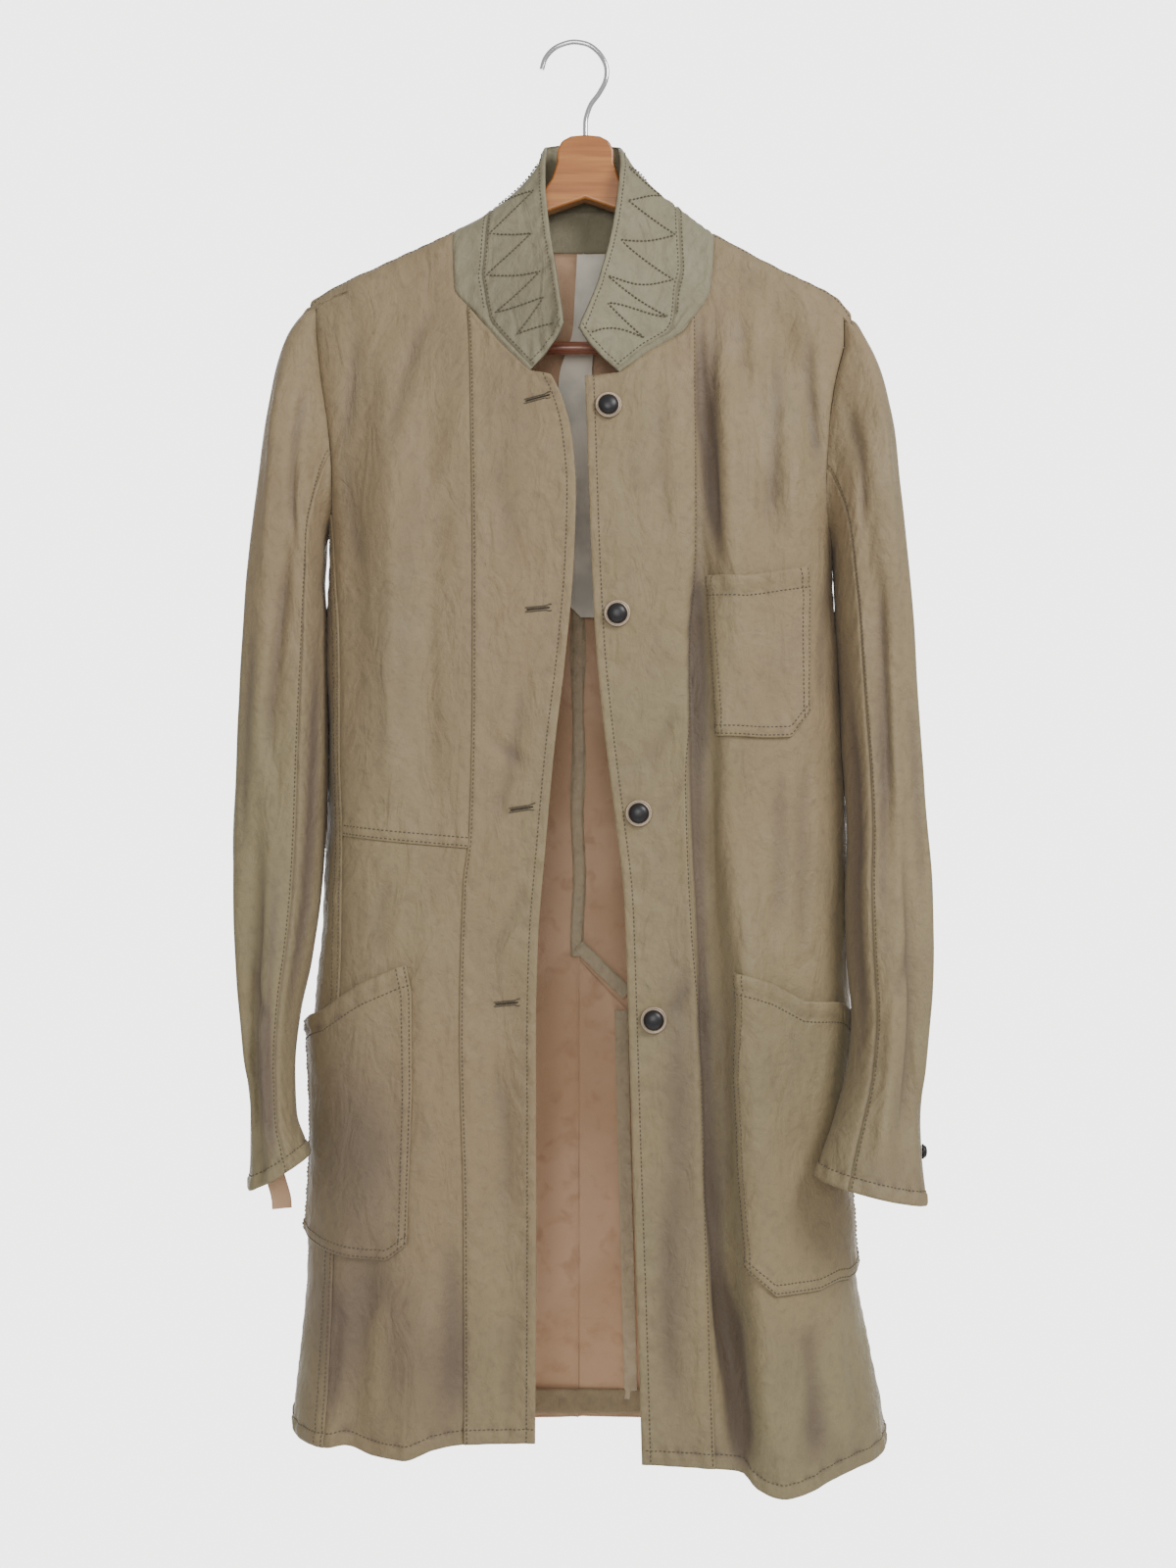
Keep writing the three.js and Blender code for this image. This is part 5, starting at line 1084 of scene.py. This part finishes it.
COLLAR_SEED, COLLAR_RIPPLE, COLLAR_WALL = 5.2, 0.8, 2.0
collars = {}
for name, low, high, cut, edges in (
        ("collar_stand", 0.0, 1.0, ((0.522, 0.034), 0.0122), {"bottom": "seam", "top": "seam"}),
        ("collar_leaf", 1.0, 2.0, ((0.484, 0.058), 0.0205),
         {"bottom": "seam", "top": "turned", "inner": "turned", "outer": "turned"})):
    share, level = np.meshgrid(spaced(520, 3.4), low + (high - low) * spaced(80 if low else 40, 3.0)[::-1])
    points, normals = collar_surface(share, level)
    wave = ripple(points, COLLAR_SEED) * COLLAR_RIPPLE
    points = points + normals * wave[..., None]
    # The ripple's hollows are passed as creases and so painted darker as shade
    panel = sewn(points, normals, wave, edges, 4.4)
    collars[name] = panel
    piece = shell(name, panel, (COLLAR_LEATHER,), COLLAR_WALL)
    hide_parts(name)

# The zigzag along the leaf, from the right end round the back to the left end
ZIGZAG = columns(
    "share level", (0.006, 1.9), (0.052, 1.14), (0.058, 1.69), (0.103, 1.08), (0.101, 1.76), (0.165, 1.06),
    (0.188, 1.72), (0.227, 1.06), (0.26, 1.80), (0.29, 1.10), (0.33, 1.85), (0.355, 1.10), (0.41, 1.85),
    (0.43, 1.12), (0.48, 1.85), (0.5, 1.15), (0.56, 1.85), (0.575, 1.12), (0.64, 1.85), (0.645, 1.12),
    (0.70, 1.85), (0.708, 1.25), (0.764, 1.82), (0.764, 1.06), (0.848, 1.86), (0.834, 1.06),
    (0.931, 1.87), (0.886, 1.07), (0.958, 1.70), (0.939, 1.08), (0.995, 1.75))


def on_collar(share, level, lift=0.4):
    point, normal = collar_surface(np.asarray(share, float), np.asarray(level, float))
    return point + normal * (lift + ripple(point, COLLAR_SEED) * COLLAR_RIPPLE)[..., None], normal


corners = np.arange(len(ZIGZAG["share"]))
t = np.linspace(0, corners[-1], 40 * corners[-1])
thread("stitches_zigzag", [on_collar(*(np.interp(t, corners, ZIGZAG[k]) for k in ("share", "level")))],
       pitch=3.0, length=2.4, thick=0.55)
thread("stitches_collar", [
    beside(collars["collar_stand"], "top", 2.5, 0.14, 0.86), beside(collars["collar_leaf"], "bottom", 2.5),
    beside(collars["collar_leaf"], "top", 4), beside(collars["collar_leaf"], "inner", 4),
    beside(collars["collar_leaf"], "outer", 4)])


# Inside the back: the underlap of the vent, the pressed seam allowance above it,
# the hem's turning and a bare label of cotton tape from the neck seam.
def inside(x, z, depth):
    """Points and normals on the inside of the backs, with the normal inwards."""
    side = np.where(x < 0, RIGHT, LEFT)
    points, normals = np.zeros((*x.shape, 3)), np.zeros((*x.shape, 3))
    for one in (RIGHT, LEFT):
        on = side == one
        if on.any():
            at = place(one, BACK, x[on], z[on])
            points[on], normals[on], _ = on_body(one, at[:, 0], at[:, 1], BODY_SEED * one)
    return points - normals * (WALL + depth)[..., None], -normals


def strip(name, lines, depth, materials, thickness, edges, cut, node=None):
    """A strip on the inside of the back, across given lines from left to right."""
    left, right = lines
    u = spaced(cut[0][0] / MM, 4)
    x = left[0][:, None] * (1 - u) + right[0][:, None] * u
    z = left[1][:, None] * (1 - u) + right[1][:, None] * u
    points, normals = inside(x, z, depth(x, z) if callable(depth) else np.full(x.shape, depth))
    panel = sewn(points, normals, np.zeros_like(x), edges, len(name))
    piece = shell(name, panel, materials, thickness)
    if node:
        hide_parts(node)


v = spaced(340, 5)
strip("back_vent_flap", (
    (np.full_like(v, 0.8), -703 - 344 * v), (38 + 8 * v, -742 - 305 * v)),
    1.9, (SUEDE, SUEDE), WALL, {"top": "turned", "outer": "turned"}, ((0.054, 0.344), 0.0135),
    "back_vent_flap")
v = spaced(540, 5)
EDGING = leather("turned_edges", (0.44, 0.365, 0.235), (0.46, 0.36, 0.23), (0.42, 0.37, 0.25),
                 (0.16, 0.12, 0.085))
strip("seam_allowance", ((-5.5 + np.sin(24 * v), -262 - 438 * v), (5 + np.sin(31 * v), -262 - 438 * v)),
      1.3, (EDGING, EDGING), 1.0, {"inner": "hem", "outer": "hem"}, ((0.0105, 0.438), 0.0046))
v = spaced(54, 3)
strip("vent_top", ((-3.7 + 38 * v, -695 - 38 * v), (3.7 + 38 * v, -687.5 - 38 * v)),
      3.4, (EDGING, EDGING), 1.0, {"inner": "turned", "outer": "turned"}, ((0.0105, 0.054), 0.00056))
v = spaced(19, 3)
strip("hem_turning", ((-130 + 0 * v, -1038 - 19 * v), (132 + 0 * v, -1040 - 19 * v)),
      3.8, (KHAKI, KHAKI), 1.0, {"top": "turned", "bottom": "turned"}, ((0.262, 0.019), 0.0049))
v = spaced(316, 5)
strip("vent_edge", (
    (28 + 8 * v, -742 - 305 * v), (38 + 8 * v, -742 - 305 * v)),
    3.4, (EDGING, EDGING), 0.8, {"inner": "turned"}, ((0.0105, 0.305), 0.0032))

LABEL = columns("z x half hang", (-156, 10, 11, 3), (-190, 7, 10, 4), (-214, 5, 9.5, 4.5), (-250, -2, 13, 5),
                (-310, -2, 17, 6), (-370, 0, 18, 6), (-418, 4, 17, 6), (-436, 9, 7, 6))
TAPE, tape_tree, tape_shader = new_material("cotton_tape", 0.92, sheen=0.1)
tone = mixed(tape_tree, ranged(tape_tree, noise_node(tape_tree, 30, 3), 0.35, 0.65),
             (0.86, 0.79, 0.66), (0.62, 0.59, 0.50))
tape_tree.links.new(tone, tape_shader.inputs["Base Color"])
bumped(tape_tree, tape_shader, [(noise_node(tape_tree, 900, 2, 0, (1, 1, 0.3)), 0.3, 0.0005)])
v = spaced(280, 4)
z = -156 - 280 * v
x, half = read(LABEL, "z", z, "x"), read(LABEL, "z", z, "half")
strip("neck_label", ((x - half, z), (x + half, z)),
      lambda x, z: 0.3 + read(LABEL, "z", z, "hang") + 0.8 * np.sin(z / 26) * np.sin(x / 9 + 1),
      (TAPE,), 0.8, {"inner": "open"}, ((0.036, 0.285), 0.0079), "neck_label")


# The right cuff's strap, whose end hangs out below the hem inside the sleeve.
TAB = {"turn": -57.0, "width": 15, "above": 18, "below": 26, "lean": -9, "seat": 1.8}
seats = armhole_ring(RIGHT)
hem_ring, tab_turn = np.array([float(RINGS)]), np.array([TAB["turn"]])
foot = sleeve_point(RIGHT, hem_ring, tab_turn, seats)[0]
centre = sleeve_point(RIGHT, hem_ring, tab_turn + 180, seats)[0]
tab_normal = unit((foot - centre) * (1, 1, 0))
tab_across = np.cross((0, 0, 1), tab_normal)
seat = foot - tab_normal * (WALL + 0.3 + TAB["seat"])
tab_length = TAB["above"] + TAB["below"]
drop = spaced(tab_length, 3)
lean = TAB["lean"] * smooth(drop)
wide = np.linspace(-0.5, 0.5, 9) * TAB["width"]
points = (seat + np.outer(TAB["above"] - tab_length * drop, (0, 0, 1))[:, None]
          + (wide[None, :] + lean[:, None])[..., None] * tab_across)
panel = sewn(points, np.broadcast_to(tab_normal, points.shape), np.zeros(points.shape[:2]),
             {"bottom": "turned"}, 1.0)
piece = shell("cuff_tab_right", panel, (KHAKI, SUEDE))
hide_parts("cuff_tab_right")


# Four coat buttons with a dull brass rim round a near black dome, and a small
# plain one on the left cuff, each set a little off the leather.
BUTTONS = columns("x z", (22.6, -284.7), (29.1, -439.5), (44.9, -587.1), (55.7, -739))
DOME = plain("button_dome", (0.012, 0.010, 0.011), 0.38)
RIM = plain("button_rim", (0.36, 0.28, 0.20), 0.42, metallic=0.7)
# rim and dome are shares of the two radii; dark is 1 where the face is the dome
PROFILE = columns(
    "rim dome high dark", (0, 0, 0, 0), (0.92, 0, 0, 0), (1, 0, 0.10, 0), (0.99, 0, 0.20, 0),
    (0.93, 0, 0.26, 0), (0.86, 0, 0.22, 0), (0, 1.02, 0.19, 0), (0, 1, 0.30, 1), (0, 0.93, 0.46, 1),
    (0, 0.76, 0.58, 1), (0, 0.5, 0.66, 1), (0, 0.22, 0.69, 1), (0, 0, 0.70, 1))


def button(name, at, normal, radius, dome, materials):
    count = 40
    angle = np.arange(count) * 2 * math.pi / count
    side = unit(np.cross(normal, (0, 0, 1)))
    up = np.cross(normal, side)
    ring = np.cos(angle)[:, None] * side + np.sin(angle)[:, None] * up
    reach = PROFILE["rim"] * radius + PROFILE["dome"] * dome
    points = at + normal * (PROFILE["high"] * radius)[:, None, None] + ring[None] * reach[:, None, None]
    vertices = points.reshape(-1, 3) * MM
    faces, index = [], []
    for r in range(len(reach) - 1):
        for k in range(count):
            a, b = r * count + k, r * count + (k + 1) % count
            faces.append((a, b, b + count, a + count))
            index.append(int(PROFILE["dark"][r + 1]))
    mesh = bpy.data.meshes.new(name)
    mesh.from_pydata(vertices.tolist(), [], faces)
    for material in materials:
        mesh.materials.append(material)
    mesh.polygons.foreach_set("material_index", np.array(index, np.int32))
    shade_smooth(mesh)
    mesh.validate()
    piece = added(f"sewn_{name}", mesh)
    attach(piece, "root")
    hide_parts(name)


for i, (x, z) in enumerate(zip(BUTTONS["x"], BUTTONS["z"])):
    at = place(LEFT, FRONT, x, z)
    point, normal, _ = on_body(LEFT, at[None, 0], at[None, 1], 1.7)
    button(f"button_{i + 1}", point[0] + normal[0] * 0.6, normal[0], 10, 7.5, (RIM, DOME))
cuff = sleeves[LEFT, "upper"]
row = int(np.argmin(np.abs(cuff["far"]["bottom"][:, 40] - 29)))
column = int(np.argmin(np.abs(cuff["outer"][row, :, 0] - 251)))
button("cuff_button_left", cuff["outer"][row, column] + cuff["normals"][row, column] * 0.6,
       cuff["normals"][row, column], 5.5, 4.6, (DOME, DOME))

# Buttonholes in the right band: close stitches round a slit, whose opening is a painted dark line of shadow
HOLES = columns("x z lean", (-30, -279, 0.25), (-29, -436, 0.1), (-41, -583.5, 0.15), (-52, -727, 0.1))
HOLE_HALF = 9.5
# The slit's opening is painted as a near black line: painted shadow
SLIT_SHADOW = plain("slit_shadow_paint", (0.03, 0.024, 0.018), 0.9)


def on_band(x, z, lift):
    at = place(RIGHT, FRONT, x, z)
    point, normal, _ = on_body(RIGHT, at[..., 0], at[..., 1], BODY_SEED * RIGHT)
    return point + normal * lift, normal


whips, slit_shadows = [], []
for x, z, lean in zip(HOLES["x"], HOLES["z"], HOLES["lean"]):
    t = np.linspace(-1, 1, 30)
    for offset in (-1, 1):
        path_x = x + HOLE_HALF * t
        path_z = z + lean * HOLE_HALF * t + offset * (0.5 + 0.9 * smooth((t - 0.55) / 0.3))
        for a, b in zip(path_x, path_z):
            p, n = on_band(np.array([a, a]), np.array([b, b + offset * 1.7]), 0.35)
            whips.append((np.linspace(p[0], p[1], 4), np.repeat(n[:1], 4, axis=0)))
    slit_shadows.append(on_band(x + HOLE_HALF * t, z + lean * HOLE_HALF * t, 0.12))
thread("buttonhole_stitches", whips, THREAD, pitch=9, length=1.1, thick=0.32)
thread("painted_slit_shadows", slit_shadows, SLIT_SHADOW, pitch=1.4, length=2.2, thick=0.55)


# The hanger: a shaped board of varnished beech with a round bar let in between
# its ends, and a plated wire hook.
HANGER_X, BOARD_THICK, BOARD_REST, ARM_DEPTH, ARM_END = 5.5, 14, 3.7, 31, 184
BAR_Z, BAR_RADIUS, HOOK_RADIUS = -232, 5, 2
HUMP = ((0, -70.5), (11, -71.5), (18, -75), (21.5, -82), (22, -92), (26, -104), (36, -118), (52, -131),
        (68, -139))
ARM_TOP = ((90, 1.6), (102, 1.6), (115, 0), (140, 0), (160, 0), (ARM_END - 8, 0), (ARM_END, 6))
LOBE = ((0, -4), (5, -9), (17, -9), (20, -6), (20, 8))


def wood(name, light, dark):
    material, tree, shader = new_material(name, 0.33)
    shader.inputs["Coat Weight"].default_value = 0.4
    shader.inputs["Coat Roughness"].default_value = 0.18
    grain = ranged(tree, noise_node(tree, 30, 5, 1.5, (0.25, 2.5, 2.5)), 0.35, 0.65)
    streak = ranged(tree, noise_node(tree, 160, 3, 0.6, (0.06, 2, 2)), 0.42, 0.7, 0.0, 0.45)
    pore = (dark[0] * 0.6, dark[1] * 0.55, dark[2] * 0.5)
    tone = mixed(tree, streak, mixed(tree, grain, light, dark), pore)
    tree.links.new(tone, shader.inputs["Base Color"])
    return material


def board_half(sign):
    side = RIGHT if sign < 0 else LEFT
    top = lambda a: float(read(RIDGE[side], "s", a + sign * HANGER_X, "z")) - BOARD_REST
    rows = [*HUMP, *((a, top(a) - ease) for a, ease in ARM_TOP),
            *((ARM_END - back, BAR_Z + over) for back, over in LOBE),
            *((a, top(a) - ARM_DEPTH) for a in (150, 100)), (40, -133), (0, -119)]
    return [(HANGER_X + sign * a, z) for a, z in rows]


outline = board_half(1) + board_half(-1)[-2:0:-1]
half = BOARD_THICK / 2
vertices = [(x, y, z) for y in (-half, half) for x, z in outline]
count = len(outline)
faces = [tuple(range(count)), tuple(range(2 * count - 1, count - 1, -1))]
faces += [((i + 1) % count, i, i + count, (i + 1) % count + count) for i in range(count)]
mesh = bpy.data.meshes.new("hanger")
mesh.from_pydata((np.array(vertices) * MM).tolist(), [], faces)
mesh.materials.append(wood("hanger_wood", (0.50, 0.20, 0.045), (0.38, 0.13, 0.028)))
board = added("hanger", mesh)
bevel = board.modifiers.new("round", "BEVEL")
bevel.width, bevel.segments, bevel.limit_method = 2.4 * MM, 4, "ANGLE"
bevel.harden_normals = True
shade_smooth(mesh)
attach(board, "root")
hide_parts("hanger_board")


def tube(name, path, radius, material, node):
    """A round bar or wire along a path."""
    curve = bpy.data.curves.new(name, "CURVE")
    curve.dimensions, curve.bevel_depth, curve.bevel_resolution = "3D", radius * MM, 6
    curve.use_fill_caps = True
    spline = curve.splines.new("POLY")
    spline.points.add(len(path) - 1)
    for point, at in zip(spline.points, path):
        point.co = (*(np.array(at) * MM), 1)
    curve.materials.append(material)
    piece = added(name, curve)
    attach(piece, "root")
    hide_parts(node)


bar_half = ARM_END - 20 - 0.3
tube("bar", [(HANGER_X - bar_half, 0, BAR_Z), (HANGER_X + bar_half, 0, BAR_Z)], BAR_RADIUS,
     wood("bar_wood", (0.42, 0.125, 0.042), (0.30, 0.08, 0.028)), "hanger_bar")
HOOK = np.array([(-28, -19), (-25, -10), (-18, -2.5), (-8, 1.6), (0, 2), (9, -0.5), (17, -7.5), (21.5, -17),
                 (21, -27), (16, -37), (9.5, -46), (6, -56), (5.5, -63), (5.5, -70.2)], float)


def curved(points, count):
    """Points of a smooth curve through the given ones."""
    ends = np.concatenate([[2 * points[0] - points[1]], points, [2 * points[-1] - points[-2]]])
    out = []
    for p0, p1, p2, p3 in zip(ends[:-3], ends[1:-2], ends[2:-1], ends[3:]):
        t = np.linspace(0, 1, count, endpoint=False)[:, None]
        out.append(0.5 * (2 * p1 + (p2 - p0) * t + (2 * p0 - 5 * p1 + 4 * p2 - p3) * t**2
                          + (3 * p1 - p0 - 3 * p2 + p3) * t**3))
    return np.concatenate([*out, points[-1:]])


CHROME = plain("hook_chrome", (0.72, 0.72, 0.73), 0.16, metallic=1.0)
tube("hook", [(x, 0, z) for x, z in curved(HOOK, 8)], HOOK_RADIUS, CHROME, "hanger_hook")


# The stage: a pale floor far below the hem, soft studio lights and a level camera.
FLOOR_Z, FLOOR_HALF = -1.9, 1.75
BACKDROP = {"colour": (0.92, 0.92, 0.915, 1), "front": 0.60, "behind": 4.2, "edge": (0.70, 0.88)}
mesh = bpy.data.meshes.new("floor")
mesh.from_pydata([(x * FLOOR_HALF, y * FLOOR_HALF, FLOOR_Z) for x, y in ((-1, -1), (1, -1), (1, 1), (-1, 1))],
                 [], [(0, 1, 2, 3)])
floor_material, _, floor_shader = new_material("floor", 1.0)
floor_shader.inputs["Base Color"].default_value = (0.86, 0.86, 0.86, 1)
floor_shader.inputs["Specular IOR Level"].default_value = 0.0
mesh.materials.append(floor_material)
added("floor", mesh)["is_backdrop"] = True

world = bpy.context.scene.world or bpy.data.worlds.new("world")
bpy.context.scene.world = world
world.use_nodes = True
sky = world.node_tree.nodes["Background"]
sky.inputs["Color"].default_value = BACKDROP["colour"]
# A lit backdrop behind the coat and a dimmer room in front of it
heading = world.node_tree.nodes.new("ShaderNodeTexCoord")
split = world.node_tree.nodes.new("ShaderNodeSeparateXYZ")
world.node_tree.links.new(heading.outputs["Generated"], split.inputs[0])
lit = ranged(world.node_tree, split.outputs["Y"], *BACKDROP["edge"], BACKDROP["front"], BACKDROP["behind"])
world.node_tree.links.new(lit, sky.inputs["Strength"])

LIGHTS = (
    # name, place, aim, size, watts
    ("key", (1.45, -1.45, 0.8), (0, 0, -0.45), 0.9, 40),
    ("front", (-0.1, -2.4, -0.15), (0, 0, -0.55), 0.9, 19),
    ("rim", (-0.9, 1.6, 0.7), (0, 0, -0.5), 1.2, 8),
)
for name, where, aim, size, watts in LIGHTS:
    data = bpy.data.lights.new(name, "AREA")
    data.energy, data.size = watts, size
    lamp = added(name, data)
    lamp.location = where
    lamp.rotation_euler = (Vector(aim) - Vector(where)).to_track_quat("-Z", "Y").to_euler()

camera_data = bpy.data.cameras.new("camera")
camera_data.lens, camera_data.sensor_width = 45, 36
camera = added("camera", camera_data)
camera.location = (0.0075, -1.5, -0.5655)
camera.rotation_euler = (math.pi / 2, 0, 0)
bpy.context.scene.camera = camera

low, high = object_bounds()
